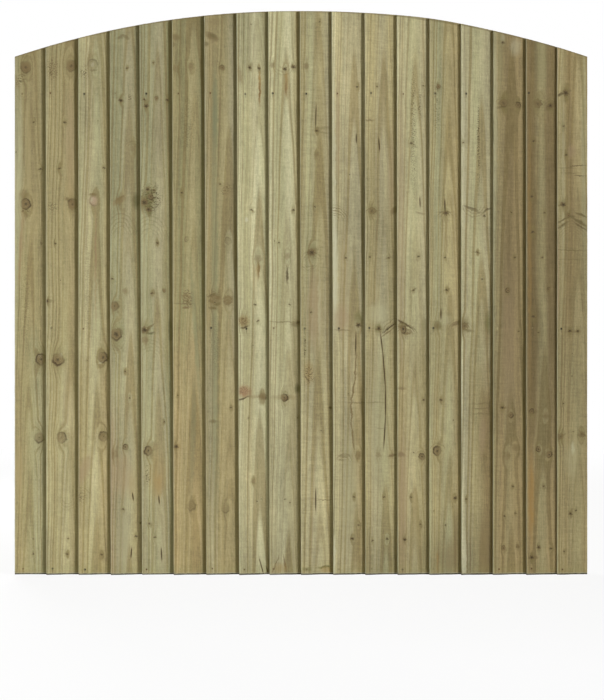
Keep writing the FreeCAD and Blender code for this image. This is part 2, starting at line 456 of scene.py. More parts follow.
# What each face nail's head looks like, the stain that it has drawn out of the wood, and how strong that is
NAIL_FINISHES = {
    "black": ("#1B1912", "iron_stain", 0.75),
    "dark": ("#3A3324", "iron_stain", 0.50),
    "brown": ("#665536", "dark_brown", 0.55),
    "rust": ("#5C3D22", "rust", 0.45),
    "dull": ("#857B57", "smudge", 0.25),
    "pale": ("#B4AA7C", "pale_khaki", 0.30),
    "bare": ("#9A9069", "khaki", 0.05),
}


def linear(hex_colour):
    """An sRGB hex colour as the linear values that shaders take."""
    channels = [int(hex_colour[i:i + 2], 16) / 255.0 for i in (1, 3, 5)]
    light = [c / 12.92 if c <= 0.04045 else ((c + 0.055) / 1.055) ** 2.4 for c in channels]
    return (*light, 1.0)


def first_output(node):
    return next(output for output in node.outputs if output.enabled)


def add(tree, kind, *inputs, named=None, **settings):
    """Adds a node. Inputs go to its open sockets in order, and named ones to the sockets of those names.

    Each is a node, a socket, a value, or None to leave the socket as it is.
    """
    node = tree.nodes.new(kind)
    for name, value in settings.items():
        setattr(node, name, value)
    sockets = [socket for socket in node.inputs if socket.enabled]
    pairs = list(zip(sockets, inputs))
    pairs += [(node.inputs[name], value) for name, value in (named or {}).items()]
    for socket, value in pairs:
        if isinstance(value, bpy.types.Node):
            value = first_output(value)
        if isinstance(value, bpy.types.NodeSocket):
            tree.links.new(value, socket)
        elif value is not None:
            socket.default_value = value
    return node


def empty_tree(owner):
    """The node tree of a material, a lamp or the world, with no nodes."""
    owner.use_nodes = True
    owner.node_tree.nodes.clear()
    return owner.node_tree


def new_group(name, inputs, outputs):
    """An empty node group with these sockets, as its tree and its two end nodes."""
    tree = bpy.data.node_groups.new(name, "ShaderNodeTree")
    for side, sockets in (("INPUT", inputs), ("OUTPUT", outputs)):
        for socket, kind in sockets.items():
            tree.interface.new_socket(socket, in_out=side, socket_type="NodeSocket" + kind)
    return tree, tree.nodes.new("NodeGroupInput"), tree.nodes.new("NodeGroupOutput")


# A map range node with this setting goes from one value to the other in a soft curve
EASED = {"interpolation_type": "SMOOTHSTEP"}

# How far along the grain a knot is felt, over its radius, the width of the year rings inside a knot, and
# the names of what a knot lays over the wood's colour
GRAIN_REACH = 2.2
KNOT_YEAR_RING = 4.2
KNOT_MASKS = ("Brown", "Dark", "Ring", "Halo")


def knot_group():
    """One knot: it bends the grain and adds its wood to the knots before it."""
    carried = {name: "Float" for name in ("Shift", "Swell", *KNOT_MASKS)}
    own = {"Own " + name: "Float" for name in carried}
    floats = {name: "Float" for name in ("Scale", "Heart", "Spikes", "Points", "Years")}
    vectors = {name: "Vector" for name in ("Place", "Centre", "Squash", "Side")}
    tree, given, result = new_group("knot", {**carried, **vectors, **floats, **own}, carried)
    pin = given.outputs
    offset = add(tree, "ShaderNodeVectorMath", pin["Place"], pin["Centre"], operation="SUBTRACT")
    offset = add(tree, "ShaderNodeVectorMath", offset, operation="SCALE", named={"Scale": pin["Scale"]})
    parts = add(tree, "ShaderNodeSeparateXYZ", offset)
    core = add(tree, "ShaderNodeVectorMath", offset, pin["Squash"], operation="MULTIPLY")
    core = add(tree, "ShaderNodeVectorMath", core, operation="LENGTH").outputs["Value"]
    angle = add(tree, "ShaderNodeMath", parts.outputs["Z"], parts.outputs["X"], operation="ARCTAN2")
    lobes = add(tree, "ShaderNodeMath", angle, pin["Points"], operation="MULTIPLY")
    lobes = add(tree, "ShaderNodeMath", lobes, operation="SINE")
    core = add(tree, "ShaderNodeMath", lobes, pin["Spikes"], core, operation="MULTIPLY_ADD")
    stream = add(tree, "ShaderNodeVectorMath", offset, (1.0, 0.0, 1.0 / GRAIN_REACH), operation="MULTIPLY")
    stream = add(tree, "ShaderNodeVectorMath", stream, operation="LENGTH").outputs["Value"]
    square = add(tree, "ShaderNodeMath", stream, stream, 1.0, operation="MULTIPLY_ADD")
    pull = add(tree, "ShaderNodeMath", parts.outputs["X"], square, operation="DIVIDE")
    wood = add(tree, "ShaderNodeMapRange", core, 1.25, 0.60, 0.0, 1.0, **EASED)
    heart = add(tree, "ShaderNodeMapRange", core, pin["Heart"], 0.08, 0.0, 1.0, **EASED)
    rim = add(tree, "ShaderNodeMath", core, 0.95, operation="SUBTRACT")
    rim = add(tree, "ShaderNodeMath", rim, operation="ABSOLUTE")
    rim = add(tree, "ShaderNodeMapRange", rim, 0.32, 0.02, 0.0, 1.0, **EASED)
    years = add(tree, "ShaderNodeMath", core, pin["Years"], operation="MULTIPLY")
    years = add(tree, "ShaderNodeMath", years, operation="SINE")
    years = add(tree, "ShaderNodeMath", years, 0.35, 0.35, operation="MULTIPLY_ADD")
    years = add(tree, "ShaderNodeMath", years, wood, operation="MULTIPLY")
    rim = add(tree, "ShaderNodeMath", rim, years, operation="MAXIMUM")
    darker = add(tree, "ShaderNodeVectorMath", offset, pin["Side"], operation="DOT_PRODUCT")
    darker = add(tree, "ShaderNodeMath", darker.outputs["Value"], 0.62, operation="ADD", use_clamp=True)
    rim = add(tree, "ShaderNodeMath", rim, darker, operation="MULTIPLY")
    glow = add(tree, "ShaderNodeMapRange", stream, 1.9, 0.4, 0.0, 1.0, **EASED)
    for name, source in (("Shift", pull), ("Swell", glow)):
        total = add(tree, "ShaderNodeMath", source, pin["Own " + name], pin[name], operation="MULTIPLY_ADD")
        tree.links.new(total.outputs[0], result.inputs[name])
    for name, source in zip(KNOT_MASKS, (wood, heart, rim, glow)):
        share = add(tree, "ShaderNodeMath", source, pin["Own " + name], operation="MULTIPLY")
        total = add(tree, "ShaderNodeMath", pin[name], share, operation="MAXIMUM")
        tree.links.new(total.outputs[0], result.inputs[name])
    return tree


def mark_group():
    """One long soft mark in a colour of its own, laid over the colour before it."""
    inputs = {
        "Colour": "Color", "Place": "Vector", "Streaks": "Float", "Centre": "Vector", "Reach": "Vector",
        "Lean": "Float", "Drop": "Float", "Outer": "Float", "Inner": "Float", "Mark": "Color",
        "Strength": "Float",
    }
    tree, given, result = new_group("mark", inputs, {"Colour": "Color"})
    pin = given.outputs
    offset = add(tree, "ShaderNodeVectorMath", pin["Place"], pin["Centre"], operation="SUBTRACT")
    parts = add(tree, "ShaderNodeSeparateXYZ", offset)
    x, z = parts.outputs["X"], parts.outputs["Z"]
    wide = add(tree, "ShaderNodeMath", z, pin["Lean"], x, operation="MULTIPLY_ADD")
    high = add(tree, "ShaderNodeMath", x, pin["Drop"], z, operation="MULTIPLY_ADD")
    away = add(tree, "ShaderNodeCombineXYZ", wide, 0.0, high)
    away = add(tree, "ShaderNodeVectorMath", away, pin["Reach"], operation="MULTIPLY")
    away = add(tree, "ShaderNodeVectorMath", away, operation="LENGTH").outputs["Value"]
    mask = add(tree, "ShaderNodeMapRange", away, pin["Outer"], pin["Inner"], 0.0, pin["Strength"], **EASED)
    mask = add(tree, "ShaderNodeMath", mask, pin["Streaks"], operation="MULTIPLY", use_clamp=True)
    mixed = add(tree, "ShaderNodeMix", mask, pin["Colour"], pin["Mark"], data_type="RGBA")
    tree.links.new(first_output(mixed), result.inputs["Colour"])
    return tree


# The space between the nested dark lines where the grain dips round a branch
ARC_STEP = 8.0


def arcs_group():
    """Nested dark lines over or under a point, where the grain dips round a branch below the face."""
    inputs = {
        "Colour": "Color", "Place": "Vector", "Streaks": "Float", "Centre": "Vector", "Radius": "Float",
        "Flat": "Vector", "Up": "Float", "Strength": "Float",
    }
    tree, given, result = new_group("arcs", inputs, {"Colour": "Color"})
    pin = given.outputs
    offset = add(tree, "ShaderNodeVectorMath", pin["Place"], pin["Centre"], operation="SUBTRACT")
    away = add(tree, "ShaderNodeVectorMath", offset, pin["Flat"], operation="MULTIPLY")
    away = add(tree, "ShaderNodeVectorMath", away, operation="LENGTH").outputs["Value"]
    lines = add(tree, "ShaderNodeMath", away, 2.0 * math.pi / ARC_STEP, operation="MULTIPLY")
    lines = add(tree, "ShaderNodeMath", lines, operation="SINE")
    lines = add(tree, "ShaderNodeMapRange", lines, 0.1, 0.95, 0.0, 0.85)
    share = add(tree, "ShaderNodeMath", away, pin["Radius"], operation="DIVIDE")
    share = add(tree, "ShaderNodeMath", share, 0.75, operation="SUBTRACT")
    share = add(tree, "ShaderNodeMath", share, operation="ABSOLUTE")
    share = add(tree, "ShaderNodeMapRange", share, 0.50, 0.20, 0.0, 1.0, **EASED)
    side = add(tree, "ShaderNodeSeparateXYZ", offset).outputs["Z"]
    side = add(tree, "ShaderNodeMath", side, pin["Up"], operation="MULTIPLY")
    side = add(tree, "ShaderNodeMapRange", side, 0.0, 0.6, 0.0, pin["Strength"], **EASED)
    mask = add(tree, "ShaderNodeMath", lines, share, operation="MULTIPLY")
    mask = add(tree, "ShaderNodeMath", mask, side, operation="MULTIPLY")
    mask = add(tree, "ShaderNodeMath", mask, pin["Streaks"], operation="MULTIPLY", use_clamp=True)
    mixed = add(tree, "ShaderNodeMix", mask, pin["Colour"], linear(COLOURS["smudge"]), data_type="RGBA")
    tree.links.new(first_output(mixed), result.inputs["Colour"])
    return tree


KNOT = knot_group()
MARK = mark_group()
ARCS = arcs_group()


# Knots: what each mask lays over the wood, with a weaker halo, how strongly one side of a ring is darker,
# and how far the grain is pulled aside
KNOT_TINTS = {"Halo": "knot_halo", "Brown": "knot_brown", "Ring": "knot_ring", "Dark": "knot_dark"}
HALO_STRENGTH = 0.8
KNOT_SHADE = 0.42
KNOT_PULL = 0.85

# The patterns of sawn softwood, as sizes across, into and along the grain in millimetres. Real fibre and
# its fuzz are finer than a picture shows, so they are drawn as coarse as they have to be to show
YEAR_RING = 4.2
TREE_TAPER = 0.012
FIBRE = (1.8, 1.8, 42.0)
TORN_FIBRE = (1.8, 1.8, 40.0)
FUZZ = (4.5, 4.5, 8.0)
SPECKS = (5.0, 5.0, 2.6)
MOTTLE = (9.0, 9.0, 9.0)
PATCHES = (16.0, 16.0, 22.0)
STREAK = (8.0, 30.0, 420.0)
CLOUD = (60.0, 90.0, 210.0)
WANDER = (150.0, 400.0, 620.0)
SAW_MARKS = (45.0, 45.0, 4.5)
RAGGEDNESS = 15.0

# Splits: the half widths of the soft line round a split and of its dark line
SPLIT_SOFT = 3.0
SPLIT_DARK = 1.7

# Nail stains: half the width and height of the stain and of its run down the board, how far below the nail
# the run lies, and how strong a stain is that doesn't run
STAIN = (3.4, 3.8)
STAIN_RUN = (1.8, 8.0)
STAIN_DROP = 6.0
WEAK_STAIN = 0.3

# How far across a board the shadow of the next one begins, where the painted lap shade starts, at the middle
# of the panel, and over how many millimetres of the panel that moves on by one
LAP_SHADE = 91.0
LAP_DRIFT = 250.0


class Look:
    """What one board shows: its colours across, at the head and the foot, and all that lies on them.

    Distances across are from the thick edge and heights are from the foot. The colours change over the two
    heights of change, pith is where the tree's middle lies across and behind the face, saw is how rough the
    sawing is, tones are how pale the board is by height, and nails are the finishes from the top row down.
    """

    def __init__(self, head, foot, change=(500.0, 900.0), pith=(60.0, 45.0), saw=0.6,
                 tones=((0, 1.0), (1800, 1.0)), nails="", knots=None, marks=(), arcs=(), splits=()):
        self.head = head
        self.foot = foot
        self.change = change
        self.pith = pith
        self.saw = saw
        self.tones = tones
        self.nails = nails.split()
        self.knots = knots or {}
        self.marks = marks
        self.arcs = arcs
        self.splits = splits


# Knots are (across, height, radius) by kind. Marks are (across, height, half width, half height, colour,
# strength) and some a tilt: a tall one leans to the right by it, and a wide one falls to the right by it.
# Arcs are (across, height, radius, flatness, strength), and hang under their point where that is negative.
# Splits are across and height at the lower end, then at the upper end
LOOKS = {
    "board_01": Look(
        head=((0, "green_sap"), (28, "khaki"), (50, "tan"), (80, "khaki")),
        foot=((0, "khaki"), (18, "tan"), (40, "khaki"), (75, "green_sap")),
        pith=(45, 40),
        tones=((60, 1.05), (480, 0.95), (700, 1.0), (1200, 0.97), (1700, 0.94)),
        nails="brown bare rust",
        knots=dict(
            brown=((35, 1622, 16),),
            ringed=((35, 1184, 15), (83, 688, 16)),
            eye=((77, 438, 15),),
            small=((27, 1162, 4), (60, 1446, 5), (82, 1296, 6), (58, 67, 5)),
            pin=((5, 1350, 3), (58, 115, 3)),
        ),
        marks=(
            (13, 1280, 13, 224, "pale_sap", 0.5), (42, 1325, 8, 224, "tan", 0.5),
            (16, 1580, 13, 19, "flecks", 0.8, 0.5), (6, 1574, 9, 28, "brown", 0.45, -0.4),
            (28, 1212, 13, 18, "dark_brown", 0.6), (40, 1165, 12, 4, "flecks", 1.0, 0.3),
            (35, 1150, 5, 14, "dark_brown", 0.6), (20, 1060, 5, 130, "red_heart", 0.45, 0.06),
            # The small white mark beside the knot at 688 is a painted highlight
            (35, 880, 14, 134, "flecks", 0.25), (77, 699, 4.5, 6, "white_sap", 0.75),
            (13, 333, 10, 83, "warm_tan", 0.6), (83, 1059, 4, 5, "split", 0.5),
        ),
        arcs=((29, 1549, 29, 0.8, -0.25),),
    ),
    "board_02": Look(
        head=((0, "pale_khaki"), (20, "khaki"), (55, "khaki"), (85, "tan")),
        foot=((0, "pale_khaki"), (30, "khaki"), (60, "pale_khaki"), (90, "khaki")),
        pith=(70, 38),
        tones=((60, 1.08), (950, 1.04), (1700, 0.97)),
        nails="rust dark dark",
        knots=dict(
            brown=((80, 1626, 16), (84, 1184, 15)),
            ringed=((38, 688, 17),),
            eye=((48, 438, 15),),
            small=((60, 1446, 6), (43, 1299, 7), (29, 1059, 5), (69, 115, 4), (66, 67, 6)),
            dark=((5, 874, 6),),
            pin=((46, 939, 3),),
        ),
        marks=(
            (22, 1613, 16, 29, "flecks", 0.8), (22, 1613, 16, 29, "brown", 0.3),
            (76, 1389, 14, 141, "pink_brown", 0.35), (78, 1222, 8, 26, "warm_tan", 0.6),
            (72, 1198, 12, 6, "dark_brown", 0.9, 0.4), (96, 1175, 4, 14, "flecks", 1.0),
            # The small white mark beside the knot at 688 is a painted highlight
            (22, 1174, 16, 19, "flecks", 0.5), (47, 701, 4, 6, "white_sap", 0.8),
            (69, 557, 16, 90, "pink_brown", 0.2), (12, 874, 11, 4.5, "smudge", 0.5),
        ),
        arcs=((68, 250, 32, 0.8, -0.3),),
    ),
    "board_03": Look(
        head=((0, "green_sap"), (30, "pale_khaki"), (60, "green_sap"), (90, "khaki")),
        foot=((0, "tan"), (25, "khaki"), (50, "pale_khaki"), (75, "tan")),
        pith=(50, 42),
        tones=((60, 1.18), (500, 1.09), (900, 1.02)),
        nails="black brown black",
        knots=dict(
            pale=((46, 1629, 15), (49, 1194, 14)),
            ringed=((77, 694, 15),),
            eye=((79, 442, 14),),
            small=((81, 1299, 6), (74, 64, 6)),
            pin=((62, 1450, 3), (28, 685, 3)),
        ),
        marks=(
            (45, 1629, 4.5, 6, "white_sap", 0.8), (40, 1656, 6, 13, "brown", 0.5, 0.3),
            (46, 1611, 10, 3, "smudge", 0.6), (18, 1603, 13, 19, "flecks", 0.7),
            # The small white mark left of the knot at 1194 is a painted highlight
            (47, 1194, 12, 14, "pink_knot", 0.95), (42, 1197, 4, 8, "white_sap", 0.6),
            (47, 1214, 12, 4, "dark_brown", 0.9), (55, 973, 3, 190, "red_heart", 0.4),
            (28, 925, 10, 175, "flecks", 0.2), (71, 678, 8, 3, "white_sap", 0.6, -0.4),
            (16, 333, 16, 45, "pink_brown", 0.6, 0.35), (10, 246, 13, 16, "flecks", 0.9),
        ),
        arcs=((3, 246, 35, 1.0, 0.4),),
    ),
    "board_04": Look(
        head=((0, "grey_green"), (30, "grey_green"), (60, "grey_tan"), (90, "olive")),
        foot=((0, "pink_brown"), (25, "grey_tan"), (55, "grey_tan"), (80, "khaki")),
        change=(350.0, 800.0),
        pith=(55, 34),
        tones=((60, 1.10), (400, 0.94), (600, 1.16), (880, 1.08), (1050, 1.12), (1250, 0.98)),
        nails="dull bare bare",
        knots=dict(
            dark=((37, 1515, 7),),
            big=((19, 768, 17),),
            small=((54, 1619, 5), (6, 944, 6), (46, 650, 5), (61, 566, 5), (40, 210, 5), (81, 122, 6)),
            faint=((73, 1363, 10), (8, 387, 13), (46, 906, 8), (29, 1194, 12)),
            brown=((14, 858, 12),),
            ringed=((48, 408, 8),),
        ),
        marks=(
            (35, 1718, 7, 8, "smudge", 0.6, 0.8), (51, 1718, 7, 8, "smudge", 0.6, -0.8),
            (64, 1526, 6, 10, "flecks", 0.9), (29, 1194, 18, 11, "brown", 0.9, -0.4),
            (33, 1203, 14, 4, "dark_brown", 0.9, -0.5), (84, 1194, 12, 22, "dark_olive", 0.6),
            (38, 320, 26, 61, "pink_brown", 0.5), (67, 288, 10, 42, "warm_tan", 0.5),
            (38, 109, 13, 109, "grey_tan", 0.6), (94, 165, 4, 4, "split", 0.7),
        ),
        arcs=((73, 1357, 29, 0.9, 0.4), (34, 1069, 52, 0.6, 0.4), (17, 760, 38, 0.8, -0.3)),
        splits=((64, 54, 66, 86), (72, 237, 69, 262)),
    ),
    "board_05": Look(
        head=((0, "grey_green"), (25, "grey_green"), (60, "grey_tan"), (90, "olive")),
        foot=((0, "grey_tan"), (30, "green_sap"), (60, "grey_tan"), (90, "grey_green")),
        change=(350.0, 800.0),
        pith=(48, 30),
        tones=((60, 1.05), (500, 1.10), (650, 1.11), (900, 1.02), (1100, 1.23), (1400, 1.0)),
        nails="black bare rust",
        knots=dict(
            dark=(
                (15, 1517, 5), (21, 1496, 8), (86, 1517, 6), (27, 1166, 8), (24, 1230, 7), (44, 1228, 5),
            ),
            star=((12, 1188, 11), (12, 782, 11)),
            small=((43, 1635, 4), (53, 1061, 6), (35, 899, 6), (71, 488, 4), (24, 165, 5), (42, 120, 6)),
            faint=((12, 748, 10),),
            ringed=((22, 396, 13), (33, 1207, 9)),
            brown=((52, 1520, 6), (74, 909, 6)),
        ),
        marks=(
            (30, 1200, 32, 40, "flecks", 1.0), (22, 1197, 22, 34, "dark_olive", 0.55, 0.15),
            (10, 1190, 9, 16, "dark_brown", 0.8), (30, 1165, 6, 22, "dark_olive", 0.6),
            (14, 780, 14, 8, "split", 1.0, -0.3), (30, 792, 14, 4, "smudge", 0.8, -0.8),
            (28, 772, 14, 3.5, "dark_olive", 0.7), (12, 752, 12, 10, "dark_brown", 0.7),
            (94, 780, 7, 38, "dark_olive", 0.6), (37, 410, 16, 13, "brown", 0.45),
            (49, 320, 26, 61, "orange_heart", 0.35), (54, 282, 10, 38, "orange_heart", 0.45),
            (20, 323, 6, 32, "flecks", 0.9), (10, 877, 6, 350, "pale_sap", 0.4),
        ),
        arcs=((30, 1050, 60, 0.6, 0.3), (29, 680, 52, 0.7, 0.25)),
        splits=((63, 45, 61, 86), (56, 227, 54, 253)),
    ),
    "board_06": Look(
        head=((0, "khaki"), (30, "olive"), (60, "khaki"), (90, "olive")),
        foot=((0, "warm_tan"), (40, "tan"), (70, "warm_tan"), (95, "tan")),
        pith=(60, 55),
        tones=((60, 1.13), (1050, 1.08), (1700, 1.0)),
        nails="brown dull pale",
        knots=dict(
            small=((30, 1220, 6), (15, 573, 4)),
            faint=((13, 1618, 10), (60, 1622, 10)),
            pale=((45, 1072, 8), (56, 221, 13)),
            dark=((10, 410, 7),),
            pin=((36, 886, 3), (48, 874, 4), (58, 864, 3)),
        ),
        marks=(
            (13, 1715, 14, 11, "dark_brown", 0.7), (2, 1693, 6, 10, "smudge", 0.6),
            (50, 1437, 22, 83, "flecks", 0.25), (48, 883, 14, 26, "flecks", 1.0),
            (39, 893, 8, 4, "dark_brown", 0.9, -0.4), (54, 887, 8, 4.5, "dark_brown", 0.8, 0.5),
            (46, 873, 9, 3.5, "smudge", 0.7, 0.3), (41, 853, 10, 4, "dark_brown", 1.0, -0.1),
            (48, 883, 14, 22, "brown", 0.5), (36, 866, 32, 2.2, "smudge", 0.5),
            (71, 781, 7, 224, "blue_stain", 0.45, -0.06), (63, 461, 8, 190, "blue_stain", 0.35, 0.03),
            (8, 410, 12, 7, "orange_heart", 0.5), (56, 221, 8, 13, "brown", 0.4),
        ),
    ),
    "board_07": Look(
        head=((0, "grey_tan"), (20, "tan"), (60, "khaki"), (90, "grey_tan")),
        foot=((0, "tan"), (18, "grey_tan"), (50, "tan"), (90, "tan")),
        pith=(70, 50),
        tones=((60, 1.12), (500, 1.05), (900, 1.0)),
        nails="rust black brown",
        knots=dict(
            brown=((56, 1619, 8),),
            small=((49, 1248, 4), (81, 534, 5)),
            pale=((74, 1067, 10), (62, 211, 12)),
            faint=((28, 880, 15), (73, 877, 12)),
            pin=((31, 870, 4),),
        ),
        marks=(
            (25, 1718, 18, 12, "dark_brown", 0.95, 0.4), (28, 1722, 10, 6, "smudge", 0.8, 0.5),
            (6, 1693, 8, 7, "smudge", 0.7), (35, 1766, 19, 16, "dark_brown", 0.35),
            (21, 1517, 3, 102, "brown", 0.5), (34, 1485, 8, 115, "blue_stain", 0.55),
            (31, 877, 10, 670, "blue_stain", 0.5), (68, 1229, 14, 16, "flecks", 0.8, 0.3),
            (68, 1229, 16, 16, "brown", 0.4, 0.3), (28, 890, 18, 18, "flecks", 1.0),
            (30, 876, 18, 26, "brown", 0.5), (73, 877, 14, 16, "flecks", 1.0),
            (22, 893, 12, 5, "smudge", 1.0, -0.35), (41, 886, 10, 5, "dark_brown", 1.0, 0.5),
            (20, 871, 9, 4, "smudge", 0.9, 0.4), (38, 864, 11, 4, "smudge", 0.9, -0.35),
            (25, 851, 12, 4, "smudge", 1.0, 0.1), (66, 888, 8, 4, "dark_brown", 0.9, -0.4),
            (80, 884, 7, 4, "dark_brown", 0.9, 0.5), (74, 868, 10, 4, "smudge", 0.8, -0.2),
            (73, 877, 16, 16, "brown", 0.6), (24, 490, 11, 6, "smudge", 0.7),
            (31, 736, 13, 83, "flecks", 0.25),
        ),
    ),
    "board_08": Look(
        head=((0, "pale_sap"), (30, "green_sap"), (60, "pale_sap"), (90, "green_sap")),
        foot=((0, "pale_sap"), (40, "pale_khaki"), (70, "pale_sap"), (95, "green_sap")),
        pith=(62, 46),
        tones=((60, 1.04), (330, 1.18), (600, 1.0), (1100, 1.26), (1500, 1.22), (1680, 1.0)),
        nails="dark black brown",
        knots=dict(
            dark=((42, 1621, 6), (72, 1618, 6)),
            small=((46, 1165, 6), (55, 864, 5), (65, 810, 5)),
            faint=((66, 1011, 11), (46, 301, 6), (17, 810, 13), (78, 570, 9)),
            pin=((47, 1757, 3), (59, 234, 4), (72, 243, 3), (31, 502, 3), (47, 733, 3)),
        ),
        marks=(
            (73, 1562, 4, 58, "orange_heart", 0.85), (72, 1539, 2.2, 32, "rust", 0.6),
            (11, 1594, 8, 29, "brown", 0.6, -0.15), (66, 1008, 12, 32, "olive", 0.4),
            (67, 973, 3.5, 26, "split", 0.75), (65, 973, 6, 29, "orange_heart", 0.5),
            (17, 810, 18, 16, "orange_heart", 0.5), (17, 810, 16, 14, "flecks", 0.9),
            (22, 791, 12, 3.5, "split", 0.9, -0.2), (20, 586, 20, 17, "red_heart", 0.85),
            (18, 592, 18, 15, "flecks", 0.4), (16, 563, 18, 3.5, "split", 0.8, -0.4),
            (51, 570, 29, 5, "brown", 0.45), (78, 570, 14, 9, "dark_brown", 0.6),
            # The small white mark at 1133 is a painted highlight
            (82, 566, 8, 3.5, "smudge", 0.8), (28, 1133, 5, 8, "white_sap", 0.8),
        ),
        splits=((78, 2, 65, 51), (93, 2, 87, 26)),
    ),
    "board_09": Look(
        head=((0, "pale_sap"), (40, "green_sap"), (70, "pale_sap"), (95, "khaki")),
        foot=((0, "pale_khaki"), (35, "pale_sap"), (70, "pale_khaki"), (95, "khaki")),
        pith=(54, 44),
        tones=((60, 0.92), (500, 1.02), (1000, 1.10), (1600, 1.25)),
        nails="black brown rust",
        knots=dict(
            dark=((54, 1616, 6), (80, 1622, 6), (96, 806, 8)),
            ringed=((49, 566, 11),),
            small=((79, 1165, 6), (34, 1060, 5), (67, 864, 5), (90, 502, 4)),
            faint=((59, 1018, 10), (13, 1626, 8)),
            pin=((18, 1066, 3), (51, 242, 4), (65, 230, 4)),
        ),
        marks=(
            (57, 1574, 5, 42, "orange_heart", 0.6), (57, 1552, 2.6, 22, "rust", 0.5),
            (50, 1014, 2.6, 32, "olive", 0.6), (69, 1014, 2.6, 32, "olive", 0.5),
            (59, 960, 3.5, 26, "split", 0.75), (46, 808, 42, 2.2, "smudge", 0.6),
            (84, 800, 13, 8, "smudge", 0.7), (49, 566, 38, 7, "brown", 0.45),
            (53, 559, 9, 4, "split", 0.9, -0.3), (58, 567, 3, 9, "split", 0.8),
            (92, 595, 9, 13, "dark_olive", 0.7), (20, 35, 2, 26, "rust", 0.6, 0.4),
            (49, 38, 2, 26, "rust", 0.6, -0.2), (35, 22, 19, 16, "orange_heart", 0.45),
        ),
        arcs=((48, 1638, 35, 0.8, -0.35),),
    ),
    "board_10": Look(
        head=((0, "khaki"), (30, "green_sap"), (60, "khaki"), (90, "grey_tan")),
        foot=((0, "pale_khaki"), (40, "grey_tan"), (70, "pale_khaki"), (95, "khaki")),
        pith=(50, 52),
        saw=1.2,
        tones=((60, 1.10), (240, 1.27), (720, 0.93), (1100, 1.02), (1650, 1.14)),
        nails="black dark brown",
        knots=dict(
            small=((64, 1766, 4), (46, 1174, 5), (33, 838, 5)),
            dark=((54, 1418, 5),),
            star=((37, 1030, 12),),
            faint=((21, 1624, 8), (53, 1341, 6)),
            pin=((66, 461, 3),),
        ),
        marks=(
            (21, 1624, 10, 8, "smudge", 0.35), (75, 1427, 19, 4, "smudge", 0.45),
            (71, 1414, 16, 2.6, "smudge", 0.4, 0.1), (39, 1034, 16, 10, "dark_brown", 0.6, -0.3),
            (45, 845, 22, 115, "pink_brown", 0.6), (61, 845, 4.5, 115, "pale_sap", 0.5),
            (14, 733, 3, 38, "flecks", 0.9), (28, 646, 16, 32, "orange_heart", 0.4),
            (28, 640, 16, 26, "flecks", 0.8), (95, 534, 4, 4, "split", 0.9),
            (75, 239, 24, 1.6, "smudge", 0.7), (78, 26, 22, 4, "moss", 0.9, -0.1),
            (81, 16, 19, 10, "orange_heart", 0.5), (17, 19, 16, 6, "moss", 0.5),
        ),
        arcs=((29, 998, 29, 1.1, -0.5), (35, 998, 32, 1.0, 0.5)),
        splits=((50, 1427, 52, 1498), (48, 205, 48, 275)),
    ),
    "board_11": Look(
        head=((0, "pale_sap"), (16, "pale_khaki"), (45, "grey_tan"), (85, "grey_tan")),
        foot=((0, "pale_sap"), (12, "pale_khaki"), (45, "grey_tan"), (85, "tan")),
        pith=(65, 36),
        saw=0.9,
        tones=((60, 1.15), (450, 1.07), (700, 1.18), (1150, 1.0), (1550, 1.42)),
        nails="rust black dull",
        knots=dict(
            small=((82, 1559, 5), (43, 1012, 5), (67, 250, 5), (81, 158, 5)),
            dark=((83, 798, 9), (61, 115, 6)),
            faint=((82, 381, 10),),
            pin=((56, 1277, 3), (50, 579, 3)),
        ),
        marks=(
            # The pale band along the thick edge is a painted highlight of its arris
            (7, 1229, 4, 415, "arris_pale", 0.6), (19, 1453, 5, 190, "pink_brown", 0.55),
            (10, 966, 8, 160, "white_sap", 0.85), (4, 58, 4, 58, "white_sap", 0.9),
            (35, 925, 19, 160, "warm_tan", 0.35), (29, 819, 22, 38, "pink_brown", 0.6),
            (83, 819, 12, 22, "moss", 0.5), (32, 781, 26, 3, "smudge", 0.45, 0.1),
            (82, 550, 32, 2, "smudge", 0.55), (40, 381, 22, 5, "smudge", 0.6),
            (31, 368, 16, 2.6, "smudge", 0.5), (53, 269, 22, 190, "green_sap", 0.35),
            (73, 662, 2.4, 50, "dark_brown", 1.0, 0.05), (66, 592, 2.4, 42, "dark_brown", 1.0, 0.17),
            (60, 516, 2.4, 46, "dark_brown", 1.0), (64, 438, 2.4, 44, "dark_brown", 0.9, -0.1),
        ),
        arcs=((1, 1123, 51, 1.0, 0.8), (37, 355, 29, 0.8, 0.5)),
        splits=((78, 1379, 78, 1408), (74, 705, 75, 774)),
    ),
    "board_12": Look(
        head=((0, "pale_khaki"), (20, "khaki"), (55, "grey_tan"), (90, "khaki")),
        foot=((0, "khaki"), (30, "grey_tan"), (60, "green_sap"), (90, "khaki")),
        pith=(56, 38),
        saw=1.1,
        tones=(
            (60, 0.96), (250, 1.27), (500, 1.12), (620, 1.06), (750, 1.12), (1080, 0.96), (1600, 1.33),
        ),
        nails="black black dull",
        knots=dict(
            small=((40, 1560, 4), (17, 1016, 5), (77, 1012, 5), (61, 250, 5), (24, 109, 5), (70, 115, 6)),
            swirl=((22, 1162, 11),),
            dark=((44, 787, 8),),
            faint=((43, 384, 8), (84, 381, 6)),
        ),
        marks=(
            (16, 1451, 16, 3, "smudge", 0.6), (86, 1277, 10, 128, "pink_brown", 0.4),
            (95, 1165, 11, 11, "dark_brown", 0.9, -0.7), (76, 1011, 10, 3, "dark_brown", 0.6, -0.3),
            (41, 832, 29, 32, "pale_sap", 0.45), (44, 787, 14, 12, "moss", 0.5),
            (80, 790, 22, 4, "split", 0.9, -0.75), (72, 772, 18, 3, "dark_brown", 0.9, -0.7),
            (31, 550, 29, 2, "smudge", 0.6), (50, 467, 13, 1.6, "smudge", 0.6, 0.1),
            (88, 381, 13, 4, "dark_brown", 0.8, -0.2), (43, 461, 29, 190, "green_sap", 0.35),
        ),
